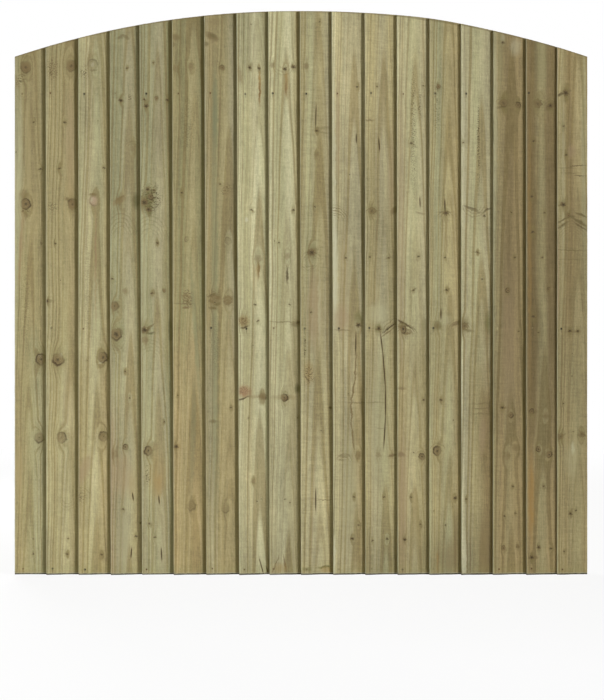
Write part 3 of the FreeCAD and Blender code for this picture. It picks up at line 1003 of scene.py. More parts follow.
        arcs=((22, 1152, 22, 1.0, 0.7), (111, 755, 58, 0.9, 0.7)),
        splits=(
            (48, 1354, 45, 1395), (57, 710, 50, 771), (66, 595, 57, 717), (66, 499, 66, 602),
            (60, 406, 66, 506),
        ),
    ),
    "board_13": Look(
        head=((0, "pale_sap"), (12, "grey_tan"), (50, "green_sap"), (85, "grey_tan")),
        foot=((0, "pale_sap"), (12, "tan"), (50, "pale_khaki"), (85, "khaki")),
        pith=(52, 40),
        tones=((60, 0.98), (240, 1.25), (500, 1.10), (700, 1.10), (1050, 1.27), (1600, 1.40)),
        nails="rust dark dark",
        knots=dict(
            small=(
                (46, 1378, 6), (86, 1563, 5), (69, 1016, 5), (52, 909, 5), (85, 560, 6), (44, 248, 5),
                (74, 160, 5),
            ),
            dark=((23, 115, 6),),
            ringed=((20, 783, 10), (79, 378, 9)),
            pin=((52, 390, 3),),
        ),
        marks=(
            (12, 1133, 12, 384, "pink_brown", 0.35), (54, 1421, 8, 190, "flecks", 0.6),
            (73, 1501, 5, 45, "flecks", 0.6), (15, 794, 13, 10, "dark_brown", 0.7),
            (25, 801, 26, 4, "split", 0.9, 0.55), (30, 772, 14, 4, "dark_brown", 1.0),
            (24, 786, 20, 3, "dark_brown", 0.8, 0.5), (87, 797, 8, 22, "olive", 0.6),
            (76, 1155, 13, 4, "smudge", 0.5, 0.2), (53, 910, 10, 3, "smudge", 0.7, -0.4),
            (11, 384, 12, 8, "dark_brown", 0.95), (14, 595, 13, 4.5, "dark_brown", 0.7),
            (17, 237, 14, 190, "pink_brown", 0.5),
        ),
        arcs=((18, 758, 48, 1.1, 0.95), (78, 378, 22, 1.0, 0.4)),
        splits=((75, 1174, 74, 1206),),
    ),
    "board_14": Look(
        head=((0, "khaki"), (30, "grey_green"), (60, "khaki"), (90, "tan")),
        foot=((0, "green_sap"), (30, "khaki"), (65, "green_sap"), (90, "tan")),
        pith=(60, 42),
        tones=((40, 0.85), (230, 1.20), (650, 1.08), (950, 1.20)),
        nails="dark black dull",
        knots=dict(
            small=((51, 1014, 5), (57, 909, 5), (37, 560, 6), (53, 158, 5)),
            brown=((29, 1559, 7),),
            dark=((85, 245, 6),),
            ringed=((27, 396, 13),),
            star=((52, 1155, 8),),
            pin=((78, 493, 3), (15, 205, 3)),
            faint=((27, 797, 12),),
        ),
        marks=(
            (29, 1559, 6, 10, "brown", 0.7), (23, 1485, 10, 77, "flecks", 0.4),
            (52, 1158, 22, 3, "smudge", 0.6), (55, 1085, 4, 70, "brown", 0.6),
            (56, 910, 10, 2.6, "smudge", 0.6, -0.4), (27, 797, 14, 14, "moss", 0.55),
            (88, 803, 13, 7, "dark_brown", 0.85, -0.5), (46, 813, 26, 16, "pale_sap", 0.3),
            (66, 51, 16, 58, "brown", 0.6), (27, 38, 3, 38, "orange_heart", 0.5),
            (88, 109, 8, 96, "dark_brown", 0.5),
        ),
        arcs=((52, 1136, 29, 1.0, 0.5), (27, 394, 26, 1.0, 0.5), (94, 774, 38, 1.0, 0.4)),
        splits=((51, 1158, 50, 1200), (38, 816, 38, 851)),
    ),
    "board_15": Look(
        head=((0, "pale_sap"), (10, "grey_tan"), (45, "green_sap"), (85, "grey_tan")),
        foot=((0, "white_sap"), (16, "grey_tan"), (45, "khaki"), (85, "brown")),
        pith=(58, 50),
        saw=1.0,
        tones=((60, 0.93), (240, 1.12), (460, 1.02), (700, 1.02), (950, 1.22)),
        nails="black bare bare",
        knots=dict(
            small=((6, 1378, 5), (76, 1147, 6), (52, 1030, 5), (67, 944, 4), (17, 242, 5)),
            swirl=((12, 794, 12),),
            faint=((76, 378, 6),),
        ),
        marks=(
            # The pale band along the thick edge is a painted highlight of its arris
            (8, 1357, 5, 290, "arris_pale", 0.5), (57, 1373, 4, 128, "flecks", 0.9),
            (32, 1171, 22, 3.5, "split", 0.6, 0.32), (44, 1162, 22, 3, "smudge", 0.6, 0.3),
            (83, 1165, 13, 3.5, "split", 0.6, -0.5), (51, 1029, 13, 2.6, "smudge", 0.6),
            (6, 797, 11, 18, "dark_brown", 0.9), (22, 781, 16, 4, "smudge", 0.6, 0.2),
            (86, 806, 8, 29, "moss", 0.55), (70, 547, 26, 2, "smudge", 0.6),
            (66, 531, 26, 2, "smudge", 0.6), (70, 515, 26, 2, "smudge", 0.55),
            (69, 445, 10, 64, "pink_brown", 0.5, 0.06), (76, 93, 19, 96, "brown", 0.7),
            (12, 45, 4.5, 77, "white_sap", 0.6),
        ),
        arcs=((44, 1190, 42, 0.9, -0.5), (12, 781, 26, 1.0, 0.4)),
    ),
    "board_16": Look(
        head=((0, "green_sap"), (16, "tan"), (50, "brown"), (85, "warm_tan")),
        foot=((0, "khaki"), (30, "warm_tan"), (45, "tan"), (80, "warm_tan")),
        pith=(50, 46),
        saw=0.9,
        tones=((60, 1.01), (350, 0.86), (580, 0.73), (1000, 0.80), (1600, 0.99)),
        nails="bare pale rust",
        knots=dict(
            dark=((32, 1699, 6), (30, 535, 6)),
            small=((59, 1158, 4), (70, 1014, 5), (85, 778, 5), (65, 283, 5), (37, 189, 5), (73, 197, 4)),
            swirl=((34, 1507, 13),),
            ringed=((81, 1501, 9), (48, 909, 7), (58, 509, 8)),
            brown=((35, 86, 7), (81, 90, 5)),
            faint=((76, 406, 10), (45, 381, 12)),
        ),
        marks=(
            (7, 1453, 6, 290, "pale_sap", 0.5), (31, 1706, 6, 16, "white_sap", 0.5),
            (24, 1658, 8, 109, "olive", 0.4), (72, 1686, 16, 26, "white_sap", 0.35),
            (29, 1494, 16, 4.5, "split", 0.5, -0.2), (51, 749, 19, 224, "pink_brown", 0.35),
            (35, 534, 13, 4.5, "dark_brown", 0.7), (74, 406, 16, 8, "smudge", 0.3),
        ),
        arcs=((34, 1498, 26, 1.0, 0.6), (79, 1494, 19, 1.0, 0.5)),
    ),
    "board_17": Look(
        head=((0, "brown"), (20, "dark_brown"), (50, "khaki"), (70, "brown"), (95, "dark_brown")),
        foot=((0, "warm_tan"), (20, "warm_tan"), (50, "khaki"), (80, "warm_tan")),
        change=(200.0, 700.0),
        pith=(46, 44),
        saw=0.9,
        tones=((60, 0.92), (400, 0.84), (900, 0.80), (1650, 0.97)),
        nails="black dull rust",
        knots=dict(
            swirl=((38, 1504, 13),),
            star=((80, 1498, 8),),
            small=(
                (20, 1208, 8), (22, 1094, 9), (23, 824, 9), (25, 1384, 6), (61, 1155, 5), (53, 1013, 5),
                (41, 774, 5), (56, 283, 5), (80, 84, 6),
            ),
            ringed=((17, 522, 8), (40, 402, 8), (74, 384, 9), (74, 912, 6)),
            faint=((63, 509, 10),),
            dark=((40, 88, 6), (16, 56, 8)),
        ),
        marks=(
            (16, 240, 9, 128, "orange_heart", 0.75), (12, 1037, 5, 384, "orange_heart", 0.4),
            (64, 1718, 29, 8, "dark_brown", 0.6, 0.1), (80, 1498, 16, 10, "split", 0.35, -0.5),
            (24, 56, 14, 5, "dark_brown", 0.9), (63, 506, 16, 5, "smudge", 0.5),
            (28, 522, 13, 4, "smudge", 0.5), (48, 1645, 19, 96, "olive", 0.4),
        ),
        arcs=((38, 1491, 29, 1.0, 0.5), (83, 1488, 32, 1.0, 0.6), (72, 371, 22, 1.0, 0.35)),
    ),
    "end_board": Look(
        head=((0, "pink_brown"), (10, "khaki"), (40, "brown"), (65, "tan"), (90, "khaki")),
        foot=((0, "khaki"), (25, "tan"), (60, "khaki"), (92, "tan")),
        pith=(60, 48),
        saw=0.9,
        tones=((60, 1.07), (560, 0.88), (1150, 0.98), (1600, 1.18)),
        nails="dull black rust",
        knots=dict(
            small=((21, 1431, 5), (31, 1341, 6), (20, 547, 5), (61, 205, 5), (24, 75, 4)),
            dark=((42, 778, 6), (68, 778, 5), (44, 196, 7), (20, 1181, 9)),
            star=((29, 1538, 10),),
            brown=((36, 1149, 6),),
            swirl=((12, 442, 10), (81, 448, 10)),
            pin=((54, 458, 3), (49, 707, 3), (49, 634, 3)),
        ),
        marks=(
            (13, 1534, 14, 4.5, "split", 0.75, -0.45), (32, 1542, 12, 8, "dark_brown", 0.6, -0.3),
            (48, 1354, 13, 19, "pink_brown", 0.5), (71, 1307, 26, 2, "split", 0.6, -0.1),
            (32, 1299, 26, 2, "smudge", 0.5), (45, 1283, 26, 2, "smudge", 0.5),
            (77, 1275, 22, 2, "split", 0.6), (16, 1181, 13, 3.5, "dark_brown", 0.9, -0.2),
            (48, 1036, 45, 2, "smudge", 0.8), (49, 1008, 42, 1.6, "smudge", 0.45),
            (55, 778, 22, 4, "dark_brown", 0.7), (11, 438, 16, 4, "dark_brown", 0.8, -0.75),
            # The pale mark at 403 is pale wood with a painted highlight
            (84, 451, 14, 4, "dark_brown", 0.8, 0.75), (52, 403, 5, 19, "white_sap", 0.7),
            (49, 365, 22, 51, "pale_khaki", 0.5), (20, 1261, 5, 290, "pale_sap", 0.35),
            (87, 1325, 6, 290, "grey_green", 0.4), (21, 1133, 20, 3.5, "smudge", 1.0, -0.55),
            (75, 1127, 26, 4.5, "smudge", 1.0, 0.52), (19, 1116, 18, 3.5, "smudge", 1.0, -0.6),
            (79, 1112, 24, 3.5, "split", 0.55, 0.6), (80, 1150, 20, 3.5, "smudge", 1.0, 0.4),
            (45, 1144, 14, 3.5, "smudge", 0.9),
        ),
        arcs=((50, 1060, 66, 0.95, 0.4),),
    ),
}


def lay_knots(tree, place, knots, seed):
    """The chain of knots, as its last node."""
    before = None
    count = 0
    for kind, places in knots.items():
        traits = KNOT_KINDS[kind]
        for across, height, radius in places:
            count += 1
            turn = seed * 1.7 + count * 2.4
            values = {
                "Place": place,
                "Centre": (across, 0.0, height),
                "Scale": 1.0 / radius,
                "Squash": (1.0, 0.0, 1.0 / traits["tall"]),
                "Side": (KNOT_SHADE * math.cos(turn), 0.0, KNOT_SHADE * math.sin(turn)),
                "Heart": traits["heart"],
                "Spikes": traits["spikes"],
                "Points": traits["points"],
                "Years": 2.0 * math.pi * radius / KNOT_YEAR_RING,
                "Own Shift": -KNOT_PULL * traits["swirl"] * radius,
                "Own Swell": traits["swell"] * radius,
            }
            for name in KNOT_MASKS:
                values["Own " + name] = traits[name.lower()]
            if before:
                for name in ("Shift", "Swell", *KNOT_MASKS):
                    values[name] = before.outputs[name]
            before = add(tree, "ShaderNodeGroup", node_tree=KNOT, named=values)
    return before


def lay_mark(tree, colour, place, streaks, across, height, half_width, half_height, mark, strength,
             tilt=0.0, softness=0.6):
    """One mark over the colour before it. A tall one leans by its tilt, and a wide one falls by it."""
    tall = half_height > half_width
    values = {
        "Colour": colour,
        "Place": place,
        "Streaks": streaks,
        "Centre": (across, 0.0, height),
        "Reach": (1.0 / half_width, 0.0, 1.0 / half_height),
        "Lean": -tilt if tall else 0.0,
        "Drop": 0.0 if tall else tilt,
        "Outer": 1.0 + softness,
        "Inner": 1.0 - softness,
        "Mark": linear(COLOURS[mark]),
        "Strength": strength,
    }
    return add(tree, "ShaderNodeGroup", node_tree=MARK, named=values).outputs["Colour"]


def lay_arcs(tree, colour, place, streaks, across, height, radius, flat, strength):
    """Nested lines over a point, or under it where the strength is negative."""
    values = {
        "Colour": colour,
        "Place": place,
        "Streaks": streaks,
        "Centre": (across, 0.0, height),
        "Radius": radius,
        "Flat": (1.0, 0.0, flat),
        "Up": math.copysign(1.0 / radius, strength),
        "Strength": abs(strength),
    }
    return add(tree, "ShaderNodeGroup", node_tree=ARCS, named=values).outputs["Colour"]


def lay_splits(tree, colour, place, streaks, splits):
    """Drying splits: a thin dark line with a softer one round it."""
    for low_x, low_z, high_x, high_z in splits:
        half = (high_z - low_z) / 2.0
        middle = ((low_x + high_x) / 2.0, (low_z + high_z) / 2.0)
        tilt = (high_x - low_x) / (high_z - low_z)
        soft = (*middle, SPLIT_SOFT, half * 1.1, "dark_brown", 0.5, tilt)
        dark = (*middle, SPLIT_DARK, half, "split", 1.0, tilt)
        colour = lay_mark(tree, colour, place, streaks, *soft)
        colour = lay_mark(tree, colour, place, streaks, *dark, softness=0.4)
    return colour


def lay_nail_stains(tree, colour, place, streaks, centres, finishes):
    """The stain round each nail's head, and a run below the stronger ones."""
    for (across, height), finish in zip(centres, finishes):
        stain, strength = NAIL_FINISHES[finish][1:]
        spot = (across, height, *STAIN, stain, strength)
        colour = lay_mark(tree, colour, place, streaks, *spot, softness=0.45)
        if strength > WEAK_STAIN:
            run = (across, height - STAIN_DROP, *STAIN_RUN, stain, 0.5 * strength)
            colour = lay_mark(tree, colour, place, streaks, *run)
    return colour


def stretched_noise(tree, across, depth, along, sizes, seed, detail=2.0, roughness=0.5):
    """Noise whose grains are about as large as the three sizes in millimetres."""
    parts = []
    for source, size in zip((across, depth, along), sizes):
        parts.append(add(tree, "ShaderNodeMath", source, 1.0 / size, seed, operation="MULTIPLY_ADD"))
    place = add(tree, "ShaderNodeCombineXYZ", *parts)
    grades = {"Scale": 1.0, "Detail": detail, "Roughness": roughness}
    return add(tree, "ShaderNodeTexNoise", place, named=grades)


def spread(ramp, stops):
    """Sets a colour ramp's stops, as pairs of position and linear colour."""
    elements = ramp.color_ramp.elements
    while len(elements) < len(stops):
        elements.new(0.5)
    for element, (position, colour) in zip(elements, stops):
        element.position = position
        element.color = colour


def band_ramp(tree, position, bands, width):
    """Bands of colour across a board."""
    ramp = add(tree, "ShaderNodeValToRGB", position)
    ramp.color_ramp.interpolation = "EASE"
    spread(ramp, [(across / width, linear(COLOURS[colour])) for across, colour in bands])
    return ramp.outputs["Color"]


def height_tone(tree, along, tones):
    """How pale the board is at each height, from pairs of height and tone."""
    top = tones[-1][0]
    share = add(tree, "ShaderNodeMath", along, 1.0 / top, operation="MULTIPLY")
    ramp = add(tree, "ShaderNodeValToRGB", share)
    spread(ramp, [(height / top, (tone / 2.0, tone / 2.0, tone / 2.0, 1.0)) for height, tone in tones])
    return add(tree, "ShaderNodeMath", ramp.outputs["Color"], 2.0, operation="MULTIPLY")


def tinted(tree, colour, other, mask):
    """The colour with another, by name, laid over it where the mask says."""
    return first_output(add(tree, "ShaderNodeMix", mask, colour, linear(COLOURS[other]), data_type="RGBA"))


def centred(tree, noise_node, amount):
    """A noise's value about zero, times an amount."""
    half = add(tree, "ShaderNodeMath", noise_node.outputs["Fac"], 0.5, operation="SUBTRACT")
    return add(tree, "ShaderNodeMath", half, amount, operation="MULTIPLY")


def year_rings(tree, grain, depth, along, pith, swell, seed):
    """Latewood round a pith that lies behind the face. The tree's taper makes its long pointed figures."""
    from_pith = add(tree, "ShaderNodeMath", grain, pith[0], operation="SUBTRACT")
    behind = add(tree, "ShaderNodeMath", depth, pith[1], operation="SUBTRACT")
    radius = add(tree, "ShaderNodeCombineXYZ", from_pith, behind, 0.0)
    radius = add(tree, "ShaderNodeVectorMath", radius, operation="LENGTH").outputs["Value"]
    radius = add(tree, "ShaderNodeMath", along, TREE_TAPER, radius, operation="MULTIPLY_ADD")
    radius = add(tree, "ShaderNodeMath", radius, swell, operation="SUBTRACT")
    count = add(tree, "ShaderNodeMath", radius, 1.0 / YEAR_RING, seed * 3.3, operation="MULTIPLY_ADD")
    grades = {"Scale": 1.0, "Detail": 1.5}
    rings = add(tree, "ShaderNodeTexNoise", count, noise_dimensions="1D", named=grades)
    return add(tree, "ShaderNodeMapRange", rings.outputs["Fac"], 0.42, 0.68, 0.0, 1.0, **EASED)


def lay_painted_lap_shade(tree, colour, across, start, lapped):
    """Painted shade, olive: beside the next board where it laps over and its shadow falls, and on the sawn
    thick edge.
    """
    if lapped:
        begin = LAP_SHADE + start / LAP_DRIFT
        painted_lap_shadow = add(tree, "ShaderNodeMapRange", across, begin, begin + 4.0, 0.0, 0.5)
        colour = tinted(tree, colour, "painted_lap_shade", painted_lap_shadow)
    facing = add(tree, "ShaderNodeNewGeometry").outputs["Normal"]
    facing = add(tree, "ShaderNodeSeparateXYZ", facing).outputs["X"]
    painted_edge_shade = add(tree, "ShaderNodeMapRange", facing, -0.6, -0.9, 0.0, 0.6)
    return tinted(tree, colour, "painted_lap_shade", painted_edge_shade)


def lay_foot(tree, colour, across, depth, along, height, seed):
    """The foot has soaked up treatment and gathered dust, and its lowest few millimetres are painted dark as
    shadow at the floor.
    """
    mottle = stretched_noise(tree, across, depth, along, MOTTLE, seed * 8.9, 2.0)
    low = add(tree, "ShaderNodeMath", centred(tree, mottle, 40.0), height, operation="ADD")
    damp = add(tree, "ShaderNodeMapRange", low, 52.0, 12.0, 0.0, 0.1, **EASED)
    colour = tinted(tree, colour, "foot_tint", damp)
    uneven = add(tree, "ShaderNodeMath", centred(tree, mottle, 3.0), height, operation="ADD")
    dust = add(tree, "ShaderNodeMapRange", uneven, 8.5, 6.0, 0.0, 0.7, **EASED)
    colour = tinted(tree, colour, "foot_dust", dust)
    # Painted shadow: the lowest few millimetres darken almost to black where the board meets the floor
    foot_shadow = add(tree, "ShaderNodeMapRange", uneven, 5.6, 4.2, 0.0, 0.9, **EASED)
    return tinted(tree, colour, "painted_foot_shadow", foot_shadow)


def lay_arch(tree, colour, millimetres):
    """The cut along the arch is a little darker in its top few millimetres."""
    middle = (0.0, 0.0, CROWN - ARCH_RADIUS)
    arch = add(tree, "ShaderNodeVectorMath", millimetres, middle, operation="SUBTRACT")
    arch = add(tree, "ShaderNodeVectorMath", arch, (1.0, 0.0, 1.0), operation="MULTIPLY")
    arch = add(tree, "ShaderNodeVectorMath", arch, operation="LENGTH").outputs["Value"]
    edge = add(tree, "ShaderNodeMapRange", arch, ARCH_RADIUS - 4.0, ARCH_RADIUS - 1.5, 0.0, 0.5)
    return tinted(tree, colour, "smudge", edge)


def dull_surface(tree, colour, relief, bump, roughness, specular):
    """A surface of this colour, with its relief as a bump of a strength and a depth in millimetres."""
    strength, depth = bump
    values = {"Strength": strength, "Distance": depth * MM, "Height": relief}
    raised = add(tree, "ShaderNodeBump", named=values)
    values = {"Base Color": colour, "Roughness": roughness, "Specular IOR Level": specular, "Normal": raised}
    surface = add(tree, "ShaderNodeBsdfPrincipled", named=values)
    add(tree, "ShaderNodeOutputMaterial", surface)


def softwood(name, look, start, slant, width, seed, nails=(), level=False):
    """Rough-sawn, green-treated softwood: faint rings and fibre, knots, saw marks and a fuzzy dull face."""
    material = bpy.data.materials.new(name + "_treated_softwood")
    tree = empty_tree(material)
    metres = add(tree, "ShaderNodeTexCoord").outputs["Object"]
    millimetres = add(tree, "ShaderNodeVectorMath", metres, operation="SCALE", named={"Scale": 1.0 / MM})
    x, depth, z = add(tree, "ShaderNodeSeparateXYZ", millimetres).outputs
    along, sideways = (x, z) if level else (z, x)
    upright = add(tree, "ShaderNodeMath", along, -slant, sideways, operation="MULTIPLY_ADD")
    across = add(tree, "ShaderNodeMath", upright, start, operation="SUBTRACT").outputs[0]

    # Nothing in wood has a clean outline: every place is shaken by a few millimetres
    patches = stretched_noise(tree, across, depth, along, PATCHES, seed * 1.7, 4.0, 0.72)
    ragged = patches.outputs["Color"]
    ragged = add(tree, "ShaderNodeVectorMath", ragged, (0.5, 0.5, 0.5), operation="SUBTRACT")
    ragged = add(tree, "ShaderNodeVectorMath", ragged, operation="SCALE", named={"Scale": RAGGEDNESS})
    flat = add(tree, "ShaderNodeCombineXYZ", across, 0.0, along)
    place = add(tree, "ShaderNodeVectorMath", flat, ragged, operation="ADD")
    place = add(tree, "ShaderNodeVectorMath", place, (1.0, 0.0, 1.0), operation="MULTIPLY")

    knots = lay_knots(tree, place, look.knots, seed)
    wander = centred(tree, stretched_noise(tree, across, depth, along, WANDER, seed * 2.9), 26.0)
    plain_grain = add(tree, "ShaderNodeMath", across, wander, operation="ADD").outputs[0]
    grain = add(tree, "ShaderNodeMath", plain_grain, knots.outputs["Shift"], operation="ADD").outputs[0]
    latewood = year_rings(tree, grain, depth, along, look.pith, knots.outputs["Swell"], seed)

    fibre = stretched_noise(tree, grain, depth, along, FIBRE, seed * 5.1, 3.0, 0.6)
    streak = stretched_noise(tree, grain, depth, along, STREAK, seed * 4.3)
    cloud = stretched_noise(tree, across, depth, along, CLOUD, seed * 6.1, 3.0)
    tilted = add(tree, "ShaderNodeMath", across, 0.05, along, operation="MULTIPLY_ADD")
    saw = stretched_noise(tree, across, depth, tilted, SAW_MARKS, seed * 7.7, 1.0)
    fuzz = stretched_noise(tree, across, depth, along, FUZZ, seed * 9.3, 2.0, 0.7)

    # The colours across the head and the foot, one giving way to the other up the board
    position = add(tree, "ShaderNodeMath", grain, 1.0 / width, operation="MULTIPLY")
    head = band_ramp(tree, position, look.head, width)
    foot = band_ramp(tree, position, look.foot, width)
    cloudy = add(tree, "ShaderNodeMath", centred(tree, cloud, 700.0), along, operation="ADD")
    blend = add(tree, "ShaderNodeMapRange", cloudy, *look.change, 0.0, 1.0, **EASED)
    colour = first_output(add(tree, "ShaderNodeMix", blend, foot, head, data_type="RGBA"))
    shade = add(tree, "ShaderNodeMath", latewood, 0.66, operation="MULTIPLY")
    colour = tinted(tree, colour, "latewood", shade)

    # How pale it is: the fibre, the coarser patterns, and the tone by height
    tone = add(tree, "ShaderNodeMath", centred(tree, fibre, 0.72), 1.0, operation="ADD")
    coarser = ((streak, 0.5), (cloud, 0.45), (patches, 0.32), (fuzz, 0.46), (saw, 0.30 * look.saw))
    for source, amount in coarser:
        tone = add(tree, "ShaderNodeMath", tone, centred(tree, source, amount), operation="ADD")
    tone = add(tree, "ShaderNodeMath", tone, height_tone(tree, along, look.tones), operation="MULTIPLY")
    colour = add(tree, "ShaderNodeVectorMath", colour, operation="SCALE", named={"Scale": tone})

    # Marks and arcs follow the fibre, and flecked marks show as specks
    streaks = add(tree, "ShaderNodeMapRange", fibre.outputs["Fac"], 0.25, 0.75, 0.55, 1.35)
    specks = stretched_noise(tree, grain, depth, along, SPECKS, seed * 3.9, 2.0, 0.6)
    specks = add(tree, "ShaderNodeMapRange", specks.outputs["Fac"], 0.50, 0.59, 0.0, 1.0, **EASED)
    sparse = add(tree, "ShaderNodeMath", specks, 0.07, operation="MULTIPLY")
    colour = tinted(tree, colour, "smudge", sparse)
    for mark in look.marks:
        pattern = specks if "flecks" in mark else streaks
        colour = lay_mark(tree, colour, place, pattern, *mark)
    swept = add(tree, "ShaderNodeVectorMath", ragged, (1.3, 0.0, 1.3), operation="MULTIPLY")
    swept = add(tree, "ShaderNodeVectorMath", flat, swept, operation="ADD").outputs["Vector"]
    for arcs in look.arcs:
        colour = lay_arcs(tree, colour, swept, streaks, *arcs)

    # The knots lie over the marks
    for part, tint in KNOT_TINTS.items():
        strength = HALO_STRENGTH if part == "Halo" else 1.0
        mask = knots.outputs[part]
        mask = add(tree, "ShaderNodeMath", mask, strength, operation="MULTIPLY", use_clamp=True)
        colour = tinted(tree, colour, tint, mask)

    # Splits, nails and edges are crisp, so they take their places unshaken
    sharp = flat.outputs["Vector"]
    colour = lay_splits(tree, colour, sharp, streaks, look.splits)
    centres = [(nail.x - start - slant * nail.z, nail.z) for nail in nails]
    colour = lay_nail_stains(tree, colour, sharp, streaks, centres, look.nails)
    # A pale band along each piece's thick edge is a painted highlight, where the rounded arris catches the
    # light
    arris = add(tree, "ShaderNodeMapRange", across, 3.8, 1.8, 0.0, 0.5, **EASED)
    colour = tinted(tree, colour, "arris_pale", arris)
    # Painted shade beside each lap and on the thick edges
    if nails:
        colour = lay_painted_lap_shade(tree, colour, across, start, lapped=name != "end_board")
    colour = lay_foot(tree, colour, across, depth, along, z, seed)
    colour = lay_arch(tree, colour, millimetres)

    # Torn fibre, saw marks and fuzz stand up from the face
    torn = stretched_noise(tree, plain_grain, depth, along, TORN_FIBRE, seed * 5.1, 2.0, 0.6)
    torn, sawn = torn.outputs["Fac"], saw.outputs["Fac"]
    relief = add(tree, "ShaderNodeMath", sawn, 0.8 * look.saw, torn, operation="MULTIPLY_ADD")
    relief = add(tree, "ShaderNodeMath", fuzz.outputs["Fac"], 0.6, relief, operation="MULTIPLY_ADD")
    dull_surface(tree, colour, relief, bump=(0.8, 0.35), roughness=0.82, specular=0.25)
    return material


# The battens of the frame are of the same wood, with plainer faces
BATTEN_LOOKS = {
    "left_stile": Look(
        head=((0, "khaki"), (20, "green_sap"), (36, "khaki")),
        foot=((0, "green_sap"), (20, "khaki"), (36, "tan")),
        pith=(-8, 40),
        saw=0.8,
        knots=dict(small=((12, 410, 5), (26, 1150, 6)), dark=((20, 880, 8),)),
    ),
    "right_stile": Look(
        head=((0, "tan"), (18, "khaki"), (36, "green_sap")),
        foot=((0, "khaki"), (20, "khaki"), (36, "pale_khaki")),
        pith=(50, 30),
        saw=0.8,
        knots=dict(small=((24, 320, 5), (10, 1320, 6)), ringed=((22, 990, 10),)),
    ),
    "bottom_rail": Look(
        head=((0, "green_sap"), (20, "khaki"), (36, "pale_khaki")),
        foot=((0, "khaki"), (20, "green_sap"), (36, "khaki")),
        change=(-200.0, 400.0),
        pith=(20, 60),
        saw=0.8,
        knots=dict(small=((12, -420, 5), (25, 130, 6)), ringed=((18, 560, 11),)),
    ),
    "middle_rail": Look(
        head=((0, "pale_khaki"), (20, "khaki"), (36, "tan")),
        foot=((0, "tan"), (20, "pale_khaki"), (36, "khaki")),
        change=(-300.0, 300.0),
        pith=(10, 48),
        saw=0.8,
        knots=dict(small=((25, -250, 5), (12, 640, 6)), dark=((20, -610, 8),)),
    ),
    "top_rail": Look(
        head=((0, "khaki"), (20, "pale_khaki"), (36, "green_sap")),
        foot=((0, "khaki"), (20, "tan"), (36, "khaki")),
        change=(-100.0, 500.0),
        pith=(34, 56),
        saw=0.8,
        knots=dict(small=((14, -120, 5), (26, 420, 6)), ringed=((20, -520, 10),)),
    ),
}

# Battens: their width, how far apart their points stand, and how far sawing and wear eat into their faces
BATTEN_WIDTH = 38.0
BATTEN_STEP = 12.0
BATTEN_ARRIS = 2.0
BATTEN_WEAR = 0.35


def batten_section(width, front, back):
    """A batten's outline as (across, depth) points, with its two rear arrises rounded."""
    points = [(0.0, front), (width * 0.33, front), (width * 0.67, front), (width, front)]
    for share in (0.35, 0.7):
        points.append((width, front + (back - front) * share))
    for corner, turn in ((width - BATTEN_ARRIS, 0.0), (BATTEN_ARRIS, math.pi / 2.0)):
        for step in range(4):
            angle = turn + math.pi / 2.0 * step / 3.0
            points.append((
                corner + BATTEN_ARRIS * math.cos(angle),
                back - BATTEN_ARRIS + BATTEN_ARRIS * math.sin(angle),
            ))
        if turn == 0.0:
            points += [(width * 0.67, back), (width * 0.33, back)]
    for share in (0.7, 0.35):
        points.append((0.0, front + (back - front) * share))
    return points


def batten_mesh(name, seed, level):
    """A sawn batten between the corners of its packed box: level ones run along X, the others up Z."""
    low, high = (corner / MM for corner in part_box(name))
    across_low, across_high = (low.z, high.z) if level else (low.x, high.x)
    start, end = (low.x, high.x) if level else (low.z, high.z)
    section = batten_section(across_high - across_low, low.y, high.y)
    middle = Vector(((across_high - across_low) / 2.0, (low.y + high.y) / 2.0))
    stations = spaced(0.0, 1.0, BATTEN_STEP / (end - start))
    vertices = []
    for station in stations:
        for a, y in section:
            stop = end
            if not level:
                stop = arch_height(max(-HALF_WIDTH, min(HALF_WIDTH, across_low + a)))
            along = start + (stop - start) * station
            inward = (middle - Vector((a, y))).normalized()
            wear = BATTEN_WEAR * (0.5 + 0.5 * wobble(along / 35.0, a / 12.0 + y / 9.0, seed * 4.7))
            across = across_low + a + inward.x * wear
            depth = y + inward.y * wear
            point = (along, depth, across) if level else (across, depth, along)
            vertices.append(Vector(point) * MM)
    count = len(section)
    faces = []
    for station in range(len(stations) - 1):
        for side in range(count):
            after = (side + 1) % count
            here = station * count
            faces.append((here + side, here + after, here + count + after, here + count + side))
    faces.append(tuple(reversed(range(count))))
    faces.append(tuple(range(len(vertices) - count, len(vertices))))
    if level:
        faces = [tuple(reversed(face)) for face in faces]
    return new_mesh(name + "_sawn", vertices, faces), across_low


# Nails: how many points stand round one, how far from its tip the shank's last ring is looked for, and how
# wide the specks of rust are
NAIL_AROUND = 20
POINT_REACH = 6.0 * MM
RUST_SPECK = 2.5


def nail_profile(length, shank_radius, head_radius, head_thickness, point_length):
    """A flat head with a rounded rim, a plain shank and a point, as distances along it and radii there."""
    return (
        (0.0, 0.0),
        (0.0, head_radius * 0.70),
        (head_thickness * 0.05, head_radius * 0.88),
        (head_thickness * 0.30, head_radius),
        (head_thickness * 0.85, head_radius),
        (head_thickness, head_radius * 0.92),
        (head_thickness, shank_radius),
        (length - point_length, shank_radius),
        (length, 0.0),
    )


